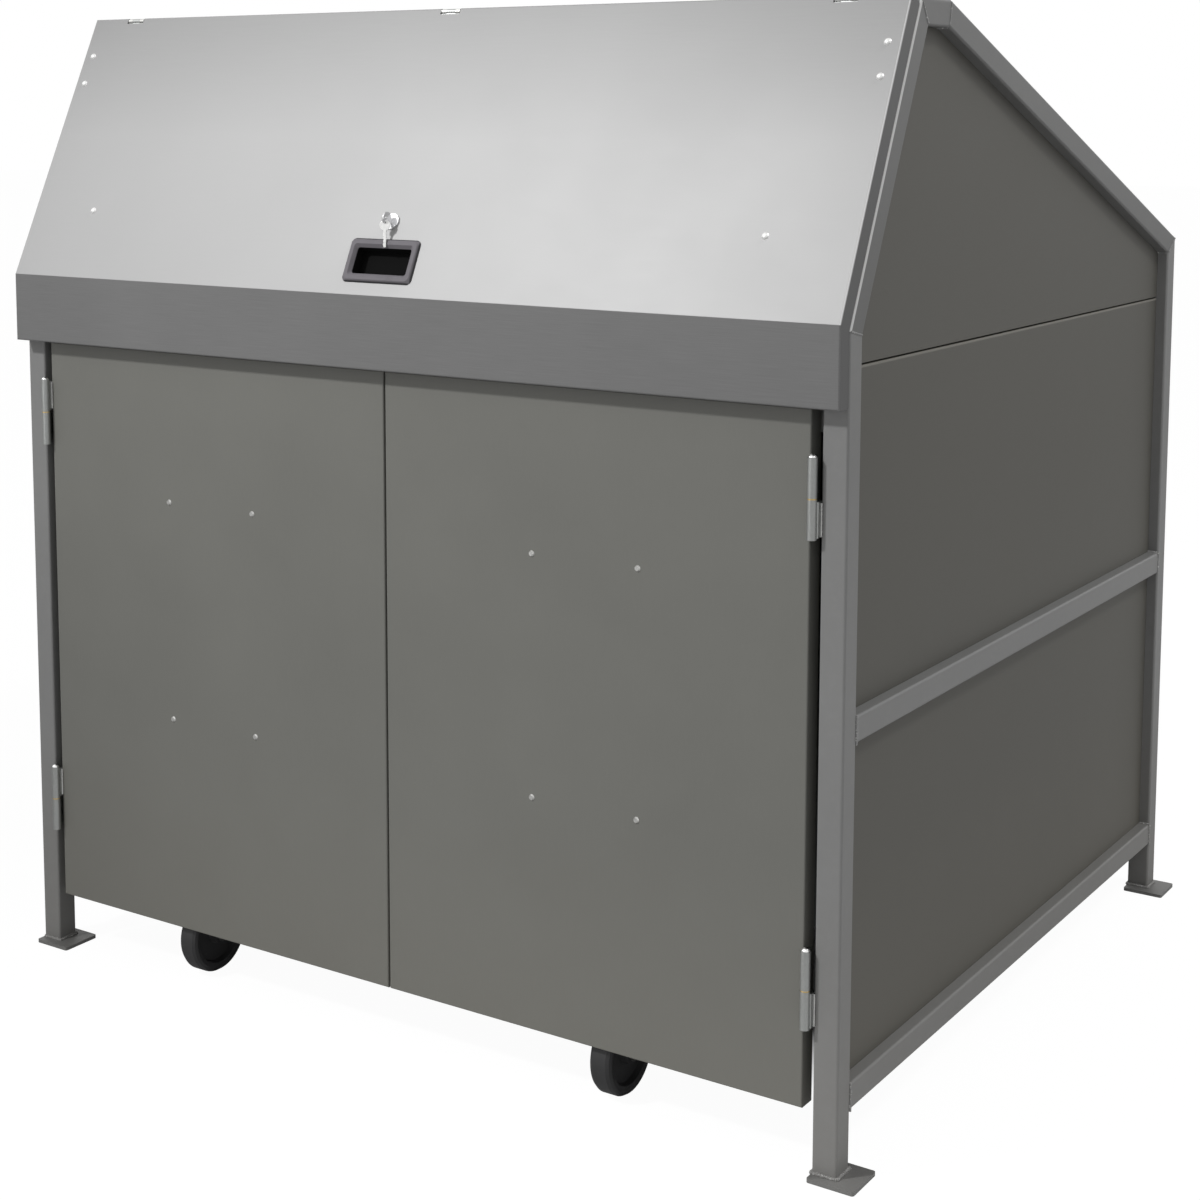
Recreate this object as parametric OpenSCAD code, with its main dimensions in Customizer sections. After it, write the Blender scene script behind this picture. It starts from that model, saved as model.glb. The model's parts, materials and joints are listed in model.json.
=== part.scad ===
// Waste bin enclosure: a welded square-tube frame with recessed sheet panels, a top-hung
// flap on gas struts, two swing doors on lift-off hinges, and the wheeled tub parked inside.
// Axes: +Z up, the doors and the flap face -Y, the right-hand side frame is at +X.
// Pieces are drawn with X centred between the side frames and Y = 0 on the front face of
// the uprights; place() then moves the origin to the middle of the footprint.

/* [Frame] */
// Width over the two side frames
frame_w = 1620; // [1500:10:1800]
// Depth over the front and rear uprights
frame_d = 1410; // [1390:5:1600]
// Side of the square tube
tube = 40; // [38:1:44]
// Wall of the square tube
tube_wall = 3; // [2:0.5:4]
// Outside corner radius of the square tube
tube_r = 4; // [3.5:0.5:5]
// Height of the front knee, where the front upright meets the front raker
front_knee_h = 1225; // [1200:5:1260]
// Height of the rear knee, where the rear upright meets the rear raker
rear_knee_h = 1285; // [1250:5:1330]
// Height of the flat apex
apex_h = 1685; // [1640:5:1760]
// Setback of the apex from the front face
apex_y = 215; // [190:5:240]
// Length of the flat apex, front to rear
apex_len = 107; // [90:1:140]
// Height of the underside of the bottom rails
bottom_rail_z = 95; // [85:1:110]
// Height of the underside of the middle rails
mid_rail_z = 637; // [600:1:680]
// Height of the underside of the header behind the door tops
header_z = 1078; // [1070:1:1085]
// Height of the header section
header_h = 40; // [30:1:42]
// Depth of the header section
header_t = 20; // [16:1:24]

/* [Feet] */
// Side of the square foot plate
foot_side = 75; // [70:1:90]
// Thickness of the foot plate
foot_t = 6; // [5:0.5:8]
// Corner radius of the foot plate
foot_r = 4; // [2:1:8]
// How far each foot plate reaches past its upright towards +X
foot_over_x = 35; // [30:1:40]
// How far the front foot plates reach past the front face
foot_over_front = 18; // [10:1:25]
// How far the rear foot plates reach past the rear face
foot_over_rear = 12; // [8:1:20]

/* [Panels] */
// Sheet thickness of the panels
panel_t = 1.5; // [1:0.25:2]
// Depth of the panels behind the outer face of the tubes
panel_recess = 20; // [17:0.5:22]
// Depth of the folded panel flanges
panel_flange = 18; // [14:0.5:20]
// Gap between a panel flange and the tube it is riveted to
panel_fit = 0.3; // [0.2:0.05:0.5]
// Height of the seam between the middle and gable panels
seam_z = 1171; // [1150:1:1185]
// Width of the open joint at the seam
seam_gap = 3; // [2:0.5:5]

/* [Flap] */
// Sheet thickness of the flap
flap_t = 2; // [1.5:0.25:2.5]
// Distance of the flap's sloping face from the rakers
flap_proud = 30; // [29:0.5:32]
// Distance of the flap's lip from the uprights
lip_proud = 28; // [26:0.5:30]
// Height of the lower edge of the lip
lip_z = 1118; // [1116:1:1124]
// Depth of the hem folded back under the lip
hem_depth = 15; // [10:1:20]
// Side clearance of the flap inside the overall width
flap_side_gap = 1; // [0.5:0.5:3]
// Gap between the flap's returns and the frame
flap_seat_gap = 1; // [0.5:0.25:2]
// Outside radius of the flap's bends
flap_bend_r = 3; // [2.5:0.25:4]
// Height of the lock and of the rod guide bolts above the knee, along the slope
lock_v = 123; // [120:1:128]
// Height of the middle of the handle above the knee, along the slope
handle_v = 56; // [54:1:60]
// Outside width of the handle bezel
handle_w = 137; // [125:1:145]
// Outside height of the handle bezel
handle_h = 74; // [70:1:78]
// Depth of the handle pocket below the sloping face
handle_depth = 22; // [18:1:25]
// Width of the handle's border
handle_rim = 15; // [13:1:17]
// Height of the handle's border above the sheet
handle_bezel = 5; // [4:0.5:6]

/* [Flap hinges] */
// Length of each flap hinge
flap_hinge_len = 37; // [34:1:45]
// Distance of the outer flap hinges from the middle
flap_hinge_x = 707; // [650:1:720]
// Radius of the flap hinge knuckles
knuckle_r = 4.5; // [4:0.25:5]
// Thickness of the flap hinge leaves
hinge_leaf_t = 2.5; // [2:0.25:3]
// Diameter of the flap hinge pins
flap_pin_d = 5; // [4:0.5:5.5]

/* [Lock rods] */
// Diameter of the lock rods
rod_d = 10; // [8:0.5:11]
// Distance of each rod's axis from the lock's axis, along the slope
rod_offset = 8; // [7.5:0.5:9]
// Depth of the rod axes outside the plane of the rakers
rod_o = 10; // [9.5:0.5:12]
// Radius at which the crank pins turn
crank_r = 14; // [13:0.5:15]
// Diameter of the crank pins
crank_pin_d = 5; // [4:0.5:6]
// Distance of the rod guides' bolts from the middle
guide_x = 664; // [640:1:680]

/* [Gas struts] */
// Distance of the strut axes from the inner faces of the side frames
strut_inset = 24; // [22:1:28]
// Height of the frame stud above the floor
strut_stud_z = 1165; // [1155:1:1180]
// Distance of the flap stud below the flap's hinge axis, along the slope
strut_drop = 98; // [92:1:104]
// Depth of the flap stud outside the plane of the rakers
strut_o = 14; // [12:0.5:15]
// Diameter of the strut cylinder
strut_d = 18; // [16:1:20]
// Diameter of the strut rod
strut_rod_d = 8; // [6:0.5:10]

/* [Doors] */
// Height of the lower edge of the doors
door_z = 99; // [95:1:105]
// Sheet thickness of the doors
door_t = 2; // [1.5:0.25:2.5]
// Depth of the door's folded side edges
door_depth = 31; // [28:0.5:32]
// Depth of the door's folded top and bottom edges, kept clear of the wheels
door_hem = 10; // [8:0.5:10]
// Outside radius of the door's bends
door_bend_r = 2.5; // [2.5:0.25:4]
// Gap between a door and its upright
door_gap = 17; // [16.5:0.25:18]
// Gap between the two doors
door_mid_gap = 3; // [2:0.5:6]
// Gap between the tops of the doors and the lip
door_top_gap = 3; // [2:0.5:5]
// Gap between the doors and the header that they close on
door_stop_gap = 0.5; // [0.3:0.1:1]
// Distance between the two screw columns of a door
screw_pitch_x = 189; // [160:1:220]
// Height of the lower row of screws
screw_low_z = 473; // [440:1:500]
// Distance between the two rows of screws
screw_pitch_z = 382; // [350:1:400]
// Height of a stiffener channel
stiff_h = 40; // [30:1:50]
// Depth of a stiffener channel
stiff_depth = 15; // [12:0.5:16]

/* [Door hinges] */
// Outside diameter of the hinge barrels
barrel_d = 15; // [14:0.5:16]
// Diameter of the hinge pins
pin_d = 8; // [7:0.5:9]
// Length of one hinge knuckle
knuckle_len = 57; // [50:1:65]
// Thickness of the brass washer between the knuckles
washer_t = 2; // [1.5:0.25:3]
// Height of the washer of the lower hinges
low_hinge_z = 281; // [240:1:320]
// Height of the washer of the upper hinges
high_hinge_z = 990; // [940:1:1010]
// Distance of the hinge axis in front of the uprights
barrel_out = 8.5; // [8.2:0.1:9]
// Distance of the hinge axis from the upright's inner face
barrel_in = 10; // [9.8:0.1:10.2]
// Thickness of the hinge leaves
leaf_t = 3.5; // [3.4:0.1:3.8]
// Depth to which the hinge leaves reach behind the front face
leaf_depth = 18; // [14:1:18]

/* [Bin] */
// Sideways offset of the parked bin from the middle
bin_x = -29; // [-60:1:60]
// Distance between the left and right castors
castor_w = 860; // [800:1:900]
// Distance from the front castor wheels to the rear ones
castor_l = 1010; // [950:1:1030]
// Distance of the front wheels' axles behind the front face
front_axle_y = 75; // [74:1:80]
// Wheel diameter
wheel_d = 134; // [125:1:135]
// Wheel width
wheel_w = 38; // [32:1:40]
// Trail of the swivel castors
castor_trail = 38; // [34:1:42]
// Axle diameter
axle_d = 12; // [10:0.5:14]
// Length of a castor's plate, side to side
plate_w = 104; // [96:1:110]
// Width of a castor's plate, front to rear
plate_l = 84; // [80:1:90]
// Diameter of the swivel head
head_d = 62; // [56:1:66]
// Width of a fork where it joins its head
fork_w = 44; // [38:1:48]
// How far the channels under the tub reach past the castors in all
bar_over = 130; // [110:1:150]
// Length of the tub at its rim, side to side
tub_w = 1300; // [1200:5:1320]
// Depth of the tub at its rim, front to rear
tub_d = 1160; // [1100:5:1180]
// Gap between the rim of the tub and the front face
tub_front = 60; // [58:1:70]
// Height of the rim of the tub
tub_h = 1040; // [950:1:1050]
// Wall of the tub
tub_wall = 5; // [4:0.5:6]
// How much narrower the floor of the tub is than its rim, on each side
tub_taper = 60; // [40:1:65]
// Corner radius of the tub
tub_r = 90; // [70:1:110]

/* [Hidden] */

$fn = 32;
half_w = frame_w / 2;
inner_x = half_w - tube;
// Running clearance of a pin or axle in its bore, on the radius
run_fit = 0.05;
// Clearance of a bolt in its hole, on the radius
bolt_fit = 0.2;
// Gap between curved or sliding faces of different pieces
slip = 0.3;
eps = 1;

// The origin is the middle of the footprint, at floor level
origin_x = foot_over_x / 2;
origin_y = (frame_d + foot_over_rear - lip_proud) / 2;

// Angles of the two rakers and the corners of the side frame
front_a = atan2(apex_h - front_knee_h, apex_y);
rear_a = atan2(apex_h - rear_knee_h, frame_d - apex_y - apex_len);
foot_front = [0, foot_t];
knee_front = [0, front_knee_h];
apex_front = [apex_y, apex_h];
apex_rear = [apex_y + apex_len, apex_h];
knee_rear = [frame_d, rear_knee_h];
foot_rear = [frame_d, foot_t];
in_foot_front = [tube, foot_t];
in_knee_front = [tube, front_knee_h - tube * tan((90 - front_a) / 2)];
in_apex_front = [apex_y + tube * tan(front_a / 2), apex_h - tube];
in_apex_rear = [apex_y + apex_len - tube * tan(rear_a / 2), apex_h - tube];
in_knee_rear = [frame_d - tube, rear_knee_h - tube * tan((90 - rear_a) / 2)];
in_foot_rear = [frame_d - tube, foot_t];

// Flap geometry in slope coordinates: v runs up the slope from the knee, o outwards
fold_z = front_knee_h + (flap_proud - lip_proud * sin(front_a)) / cos(front_a);
hinge_z = apex_h + hinge_leaf_t - knuckle_r;
hinge_o = flap_proud - knuckle_r;
hinge_y = ((hinge_z - front_knee_h) * cos(front_a) - hinge_o) / sin(front_a);
hinge_v = hinge_y * cos(front_a) + (hinge_z - front_knee_h) * sin(front_a);
flap_top_v = hinge_v + knuckle_r;
strut_v = hinge_v - strut_drop;
flap_half = half_w - flap_side_gap;
flap_hinges = [-flap_hinge_x, 0, flap_hinge_x];
notch_len = flap_hinge_len + 2;
notch_depth = 2 * knuckle_r + 2;

// Bolts of the flap: two strut bracket bolts a side, one rod guide bolt a side
bolt_d = 6;
bolt_head_d = 12;
bolt_head_t = 3.5;
bolt_nut_d = 11;
bracket_t = 2.5;
bracket_bolt_x = half_w - tube / 2 - 3;
bracket_bolt_pitch = 54;

// Lock
lock_bore_d = 12;
lock_body_d = 18;
lock_head_d = 27;
lock_head_t = 3;
yoke_t = 3;
disc_t = 3;
disc_d = 2 * crank_r + 12;
disc_o = rod_o + yoke_t / 2 + slip;
rod_travel = 2 * crank_r * sin(45);
yoke_slack = 0.7;
strike_t = 4;
strike_gap = 8;
// Clearance of a rod in its strike, on the radius
strike_slack = 4;
rod_end_x = inner_x - strike_t - strike_gap;
guide_leg_x = guide_x + 26;

// Gas strut between the frame stud and the flap stud, as points in Y and Z
strut_x = inner_x - strut_inset;
strut_g = [tube / 2, strut_stud_z];
strut_f = [strut_v * cos(front_a) - strut_o * sin(front_a),
    front_knee_h + strut_v * sin(front_a) + strut_o * cos(front_a)];
strut_len = norm(strut_f - strut_g);
strut_a = atan2(strut_f[1] - strut_g[1], strut_f[0] - strut_g[0]);
strut_eye_d = 14;
strut_eye_w = 16;
strut_free = 30;
strut_bore_d = strut_d - 3;
strut_cap = 12;
// Length of the strut's far end that the rod leaves free
strut_spare = 60;
stud_d = 8;

// Doors
door_out = inner_x - door_gap;
door_in = door_mid_gap / 2;
door_top = lip_z - door_top_gap;
door_w = door_out - door_in;
door_mid = (door_out + door_in) / 2;
hinge_x = inner_x - barrel_in;
hinge_heights = [low_hinge_z, high_hinge_z];
screw_rows = [screw_low_z, screw_low_z + screw_pitch_z];
screw_cols = [door_mid - screw_pitch_x / 2, door_mid + screw_pitch_x / 2];
screw_d = 5;
screw_head_d = 10;
screw_head_t = 2.2;
screw_nut_d = 9;
stiff_end = 24;
dome_h = 5;

// Bin and castors
wheel_r = wheel_d / 2;
head_gap = 5;
head_t = 14;
head_z = wheel_d + head_gap;
plate_z = head_z + head_t + 0.5;
plate_t = 4;
bar_z = plate_z + plate_t;
bar_h = 30;
bar_w = 80;
bar_wall = 3;
tub_z = bar_z + bar_h;
fork_t = 4;
fork_in = wheel_w / 2 + 2.5;
hub_w = wheel_w + 3;
rear_axle_y = front_axle_y + castor_l;
swivel_y = front_axle_y + castor_trail;
tub_y = tub_front + tub_d / 2;

function mirror_x(points) = [for (p = points) [-p[0], p[1]]];

// Moves the origin to the middle of the footprint
module place() {
    translate([-origin_x, -origin_y, 0]) children();
}

// Makes a copy on each side
module both_sides() {
    children();
    mirror([1, 0, 0]) children();
}

// Extrudes an outline drawn in Y and Z across the width between x0 and x1
module across(x0, x1) {
    translate([x0, 0, 0])
        rotate([90, 0, 90])
            linear_extrude(x1 - x0) children();
}

// Puts children into slope coordinates: X stays, Y runs up the slope, Z points outwards
module on_slope() {
    translate([0, 0, front_knee_h])
        rotate([front_a, 0, 0]) children();
}

// Rounded rectangle centred on the origin
module round_rect(w, h, r) {
    square([w - 2 * r, h], center = true);
    square([w, h - 2 * r], center = true);
    for (x = [-1, 1], y = [-1, 1])
        translate([x * (w / 2 - r), y * (h / 2 - r)]) circle(r);
}

// Section of the square tube, one corner at the origin
module tube_section() {
    inner_r = max(tube_r - tube_wall, 0.5);
    translate([tube / 2, tube / 2]) difference() {
        round_rect(tube, tube, tube_r);
        round_rect(tube - 2 * tube_wall, tube - 2 * tube_wall, inner_r);
    }
}

// A member of the right-hand side frame: a tube along the outer edge a to b,
// cut to its outline in Y and Z
module member(a, b, outline) {
    angle = atan2(b[1] - a[1], b[0] - a[0]);
    intersection() {
        translate([inner_x, a[0], a[1]])
            rotate([angle - 90, 0, 0])
                translate([0, 0, -tube])
                    linear_extrude(norm(b - a) + 2 * tube) tube_section();
        across(inner_x - eps, half_w + eps) polygon(outline);
    }
}

// A tube running across between the side frames, lower front corner at y and z
module crossbeam(y, z) {
    translate([-inner_x, y, z])
        rotate([90, 0, 90])
            linear_extrude(2 * inner_x) tube_section();
}

// Frame
module front_uprights() {
    place() color("dimgray") both_sides()
        member(foot_front, knee_front, [foot_front, in_foot_front, in_knee_front, knee_front]);
}

module rear_uprights() {
    place() color("dimgray") both_sides()
        member(knee_rear, foot_rear, [foot_rear, in_foot_rear, in_knee_rear, knee_rear]);
}

module front_rakers() {
    place() color("dimgray") both_sides()
        member(knee_front, apex_front, [knee_front, in_knee_front, in_apex_front, apex_front]);
}

module rear_rakers() {
    place() color("dimgray") both_sides()
        member(apex_rear, knee_rear, [apex_rear, in_apex_rear, in_knee_rear, knee_rear]);
}

module apex_tubes() {
    place() color("dimgray") both_sides()
        member(apex_front, apex_rear, [apex_front, in_apex_front, in_apex_rear, apex_rear]);
}

// A side rail between the uprights at height z
module side_rail(z) {
    translate([inner_x, tube, z])
        mirror([0, 1, 0]) rotate([90, 0, 0])
            linear_extrude(frame_d - 2 * tube) tube_section();
}

module mid_rails() {
    place() color("dimgray") both_sides() side_rail(mid_rail_z);
}

module bottom_rails() {
    place() color("dimgray") both_sides() side_rail(bottom_rail_z);
}

module foot_plates() {
    place() color("dimgray")
        for (x = [-half_w, inner_x])
            for (y = [-foot_over_front, frame_d + foot_over_rear - foot_side])
                translate([x + tube + foot_over_x - foot_side / 2, y + foot_side / 2, 0])
                    linear_extrude(foot_t) round_rect(foot_side, foot_side, foot_r);
}

module apex_crossbeam() {
    place() color("dimgray") crossbeam(apex_y, apex_h - tube);
}

module rear_crossbeams() {
    place() color("dimgray")
        for (z = [bottom_rail_z, mid_rail_z, rear_knee_h - tube])
            crossbeam(frame_d - tube, z);
}

module front_header() {
    place() color("dimgray")
        translate([-inner_x, door_depth + door_stop_gap, header_z])
            difference() {
                cube([2 * inner_x, header_t, header_h]);
                translate([-eps, tube_wall, tube_wall])
                    cube([2 * (inner_x + eps), header_t - 2 * tube_wall,
                        header_h - 2 * tube_wall]);
            }
}

// Panels
// A folded tray on the right-hand side frame, from its outline in Y and Z
module side_tray(outline) {
    skin_x = half_w - panel_recess;
    difference() {
        across(skin_x - panel_flange, skin_x)
            offset(delta = -panel_fit) polygon(outline);
        across(skin_x - panel_flange - eps, skin_x - panel_t)
            offset(delta = -panel_fit - panel_t) polygon(outline);
    }
}

function box_outline(y0, y1, z0, z1) = [[y0, z0], [y1, z0], [y1, z1], [y0, z1]];

lower_outline = box_outline(tube, frame_d - tube, bottom_rail_z + tube, mid_rail_z);
middle_outline = box_outline(tube, frame_d - tube, mid_rail_z + tube,
    seam_z - seam_gap / 2 + panel_fit);
gable_outline = [[tube, seam_z + seam_gap / 2 - panel_fit],
    [frame_d - tube, seam_z + seam_gap / 2 - panel_fit],
    in_knee_rear, in_apex_rear, in_apex_front, in_knee_front];

module right_lower_panel() {
    place() color("darkolivegreen") side_tray(lower_outline);
}

module right_middle_panel() {
    place() color("darkolivegreen") side_tray(middle_outline);
}

module right_gable_panel() {
    place() color("darkolivegreen") side_tray(gable_outline);
}

module left_lower_panel() {
    place() color("darkolivegreen") mirror([1, 0, 0]) side_tray(lower_outline);
}

module left_middle_panel() {
    place() color("darkolivegreen") mirror([1, 0, 0]) side_tray(middle_outline);
}

module left_gable_panel() {
    place() color("darkolivegreen") mirror([1, 0, 0]) side_tray(gable_outline);
}

// A folded tray across the rear, between heights z0 and z1
module rear_tray(z0, z1) {
    w = 2 * (inner_x - panel_fit);
    h = z1 - z0 - 2 * panel_fit;
    skin_y = frame_d - panel_recess;
    translate([-w / 2, skin_y - panel_flange, z0 + panel_fit]) difference() {
        cube([w, panel_flange, h]);
        translate([panel_t, -eps, panel_t])
            cube([w - 2 * panel_t, panel_flange - panel_t + eps, h - 2 * panel_t]);
    }
}

module rear_lower_panel() {
    place() color("darkolivegreen") rear_tray(bottom_rail_z + tube, mid_rail_z);
}

module rear_upper_panel() {
    place() color("darkolivegreen") rear_tray(mid_rail_z + tube, rear_knee_h - tube);
}

// Roof line at a depth below the apex and the rear rakers, from y0 to y1
function roof_edge(depth, y0, y1) = let(bend = apex_y + apex_len - depth * tan(rear_a / 2))
    [[y0, apex_h - depth], [bend, apex_h - depth],
        [y1, apex_h - depth - (y1 - bend) * tan(rear_a)]];

// Outline of a band under the roof line, between two depths
function roof_band(top, bottom, y0, y1) = let(upper = roof_edge(top, y0, y1),
    lower = roof_edge(bottom, y0, y1))
    [upper[0], upper[1], upper[2], lower[2], lower[1], lower[0]];

module roof_panel() {
    y0 = apex_y + tube + panel_fit;
    y1 = frame_d - tube - panel_fit;
    w = inner_x - panel_fit;
    place() color("darkolivegreen") difference() {
        across(-w, w) polygon(roof_band(panel_recess, panel_recess + panel_flange, y0, y1));
        across(-w + panel_t, w - panel_t)
            polygon(roof_band(panel_recess + panel_t, panel_recess + panel_flange + eps,
                y0 + panel_t, y1 - panel_t));
    }
}

// Flap
function slope_point(v, o) = [v * cos(front_a) - o * sin(front_a),
    front_knee_h + v * sin(front_a) + o * cos(front_a)];

// Height at which a line o outside the raker crosses a line y in front of the upright
function fold_height(o, y) = front_knee_h + (o - y * sin(front_a)) / cos(front_a);

// Outline of the closed flap tray in Y and Z
flap_outline = [slope_point(flap_top_v, flap_proud), [-lip_proud, fold_z],
    [-lip_proud, lip_z], [-flap_seat_gap, lip_z],
    [-flap_seat_gap, fold_height(flap_seat_gap, flap_seat_gap)],
    slope_point(flap_top_v, flap_seat_gap)];
// Outline of the space inside it, open at the back
flap_hollow = let(lip_in = lip_proud - flap_t, face_in = flap_proud - flap_t)
    [slope_point(flap_top_v - flap_t, face_in), [-lip_in, fold_height(face_in, lip_in)],
        [-lip_in, lip_z + flap_t], [hem_depth - lip_proud, lip_z + flap_t],
        [hem_depth - lip_proud, lip_z - eps], [tube, lip_z - eps],
        [tube, front_knee_h], slope_point(flap_top_v - flap_t, -tube)];

// The closed flap as a solid, rounded at its fold and along its two sides
module flap_block() {
    deep = 2 * tube + flap_proud;
    intersection() {
        across(-flap_half, flap_half)
            offset(r = flap_bend_r) offset(delta = -flap_bend_r) polygon(flap_outline);
        on_slope() translate([0, -flap_top_v, flap_proud - deep / 2]) rotate([-90, 0, 0])
            linear_extrude(3 * flap_top_v) round_rect(2 * flap_half, deep, flap_bend_r);
        translate([0, -lip_proud, 0]) translate([0, apex_h / 2, 0])
            linear_extrude(2 * apex_h) round_rect(2 * flap_half, apex_h, flap_bend_r);
    }
}

module flap_shell() {
    place() color("gainsboro") difference() {
        flap_block();
        across(-flap_half + flap_t, flap_half - flap_t) polygon(flap_hollow);
        on_slope() {
            for (x = flap_hinges)
                translate([x - notch_len / 2, flap_top_v - notch_depth, flap_proud / 2])
                    cube([notch_len, notch_depth + eps, flap_proud]);
            for (x = flap_hinges)
                translate([x - notch_len / 2, flap_top_v - flap_t - eps, -eps])
                    cube([notch_len, flap_t + 2 * eps, flap_proud]);
            translate([0, handle_v, 0])
                linear_extrude(flap_proud + eps)
                    round_rect(handle_w - 2 * handle_rim + 5, handle_h - 2 * handle_rim + 5, 7);
            translate([0, lock_v, 0]) cylinder(d = lock_body_d + 2 * bolt_fit, h = 2 * flap_proud);
            bolt_places() cylinder(d = bolt_d + 2 * bolt_fit, h = 2 * flap_proud);
        }
    }
}

// Bolt axes of the flap, in slope coordinates
module bolt_places() {
    for (s = [-1, 1]) {
        for (v = [-1, 1])
            translate([s * bracket_bolt_x, strut_v + v * bracket_bolt_pitch / 2, 0]) children();
        translate([s * guide_x, lock_v, 0]) children();
    }
}

module flap_bolts() {
    sphere_r = (bolt_head_d * bolt_head_d / 4 + bolt_head_t * bolt_head_t) / (2 * bolt_head_t);
    nut_o = flap_proud - flap_t - bracket_t;
    place() color("silver") on_slope() bolt_places() {
        intersection() {
            translate([0, 0, flap_proud + bolt_head_t - sphere_r]) sphere(sphere_r, $fn = 48);
            translate([0, 0, flap_proud]) cylinder(d = bolt_head_d, h = bolt_head_t + eps);
        }
        translate([0, 0, nut_o - 7]) cylinder(d = bolt_d, h = flap_proud - nut_o + 7 + 0.5);
        translate([0, 0, nut_o - 5]) cylinder(d = bolt_nut_d, h = 5, $fn = 6);
    }
}

module flap_handle() {
    w = handle_w - 2 * handle_rim;
    h = handle_h - 2 * handle_rim;
    edge = 1.2;
    slope_in = 5;
    shrink = 2 * (handle_bezel - edge);
    place() color("black") on_slope() translate([0, handle_v, flap_proud]) difference() {
        union() {
            linear_extrude(edge) round_rect(handle_w, handle_h, 9);
            translate([0, 0, edge]) linear_extrude(handle_bezel - edge, slices = 1,
                scale = [1 - shrink / handle_w, 1 - shrink / handle_h])
                    round_rect(handle_w, handle_h, 9);
            translate([0, 0, -handle_depth]) linear_extrude(handle_depth + eps)
                round_rect(w + 4, h + 4, 6);
        }
        translate([0, 0, -handle_depth + 2]) linear_extrude(handle_depth + handle_bezel)
            round_rect(w, h, 4);
        linear_extrude(handle_bezel + eps / 10, slices = 1,
            scale = [1 + 2 * slope_in / w, 1 + 2 * slope_in / h]) round_rect(w, h, 4);
    }
}

// Flap hinges: the frame leaf lies on the apex crossbeam and carries the pin
frame_knuckle_len = flap_hinge_len * 0.27;
mid_knuckle_len = flap_hinge_len - 2 * frame_knuckle_len - 2 * slip;
leaf_reach = 30;

module flap_hinge_frame_leaves() {
    back = apex_y + leaf_reach;
    relief = hinge_y + knuckle_r + slip;
    place() color("silver") for (x = flap_hinges) translate([x, 0, 0]) {
        translate([-flap_hinge_len / 2, relief, apex_h])
            cube([flap_hinge_len, back - relief, hinge_leaf_t]);
        for (s = [0, 1])
            translate([-flap_hinge_len / 2 + s * (flap_hinge_len - frame_knuckle_len), 0, 0]) {
                translate([0, hinge_y, apex_h])
                    cube([frame_knuckle_len, relief - hinge_y + eps, hinge_leaf_t]);
                translate([0, hinge_y, hinge_z])
                    rotate([0, 90, 0]) cylinder(r = knuckle_r, h = frame_knuckle_len);
            }
        translate([-flap_hinge_len / 2, hinge_y, hinge_z])
            rotate([0, 90, 0]) cylinder(d = flap_pin_d, h = flap_hinge_len);
    }
}

module flap_hinge_flap_leaves() {
    relief = knuckle_r + slip;
    face_in = flap_proud - flap_t;
    place() color("silver") on_slope() for (x = flap_hinges) translate([x, 0, 0]) difference() {
        union() {
            translate([-flap_hinge_len / 2, hinge_v - leaf_reach, face_in - hinge_leaf_t])
                cube([flap_hinge_len, leaf_reach - relief, hinge_leaf_t]);
            translate([-mid_knuckle_len / 2, hinge_v - relief - eps, face_in - hinge_leaf_t])
                cube([mid_knuckle_len, relief + eps, hinge_leaf_t]);
            translate([-mid_knuckle_len / 2, hinge_v, hinge_o])
                rotate([0, 90, 0]) cylinder(r = knuckle_r, h = mid_knuckle_len);
        }
        translate([-flap_hinge_len / 2, hinge_v, hinge_o])
            rotate([0, 90, 0]) cylinder(d = flap_pin_d + 2 * run_fit, h = flap_hinge_len);
    }
}

// Rubber buffers on the rakers, just clear of the inside of the flap
buffer_v = 45;
buffer_d = 22;

module flap_buffers() {
    place() color("black") on_slope() both_sides()
        translate([half_w - tube / 2, buffer_v, 0]) {
            cylinder(d = buffer_d, h = 8);
            cylinder(d = buffer_d - 5, h = flap_proud - flap_t - slip);
        }
}

// Rod lock
module lock_body() {
    body_bottom = disc_o + disc_t + slip;
    nut_t = 6;
    place() color("silver") on_slope() translate([0, lock_v, 0]) difference() {
        union() {
            translate([0, 0, flap_proud]) cylinder(d = lock_head_d, h = lock_head_t);
            translate([0, 0, body_bottom]) cylinder(d = lock_body_d, h = flap_proud - body_bottom + eps);
            translate([0, 0, flap_proud - flap_t - nut_t]) cylinder(d = 25, h = nut_t, $fn = 6);
        }
        translate([0, 0, body_bottom - eps])
            cylinder(d = lock_bore_d + 2 * run_fit, h = 2 * flap_proud);
    }
}

// Crank pins at rest: the upper one pushes the right rod, the lower one the left rod
crank_pins = [[-crank_r * sin(45), crank_r * cos(45)], [crank_r * sin(45), -crank_r * cos(45)]];
rotor_top = flap_proud + lock_head_t + 0.5;
key_slot_w = 3;

module lock_rotor() {
    place() color("silver") on_slope() translate([0, lock_v, 0]) {
        difference() {
            translate([0, 0, disc_o]) cylinder(d = lock_bore_d, h = rotor_top - disc_o);
            translate([-key_slot_w / 2, -4, rotor_top - 6]) cube([key_slot_w, 8, 6 + eps]);
        }
        translate([0, 0, disc_o]) cylinder(d = disc_d, h = disc_t);
        for (p = crank_pins)
            translate([p[0], p[1], rod_o - yoke_t / 2 - slip])
                cylinder(d = crank_pin_d, h = disc_o - rod_o + yoke_t / 2 + slip + eps);
    }
}

module lock_key() {
    blade_t = key_slot_w - 0.4;
    neck_h = 4;
    bow_r = 10;
    place() color("silver") on_slope() translate([-blade_t / 2, lock_v, 0]) {
        translate([0, -3.7, rotor_top - 5.6]) cube([blade_t, 7.4, 5.6 + neck_h]);
        translate([0, 0, rotor_top + neck_h + bow_r - 2]) rotate([0, 90, 0]) difference() {
            cylinder(r = bow_r, h = blade_t);
            translate([-bow_r / 2, 0, -eps]) cylinder(r = 1.9, h = blade_t + 2 * eps);
        }
    }
}

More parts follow.
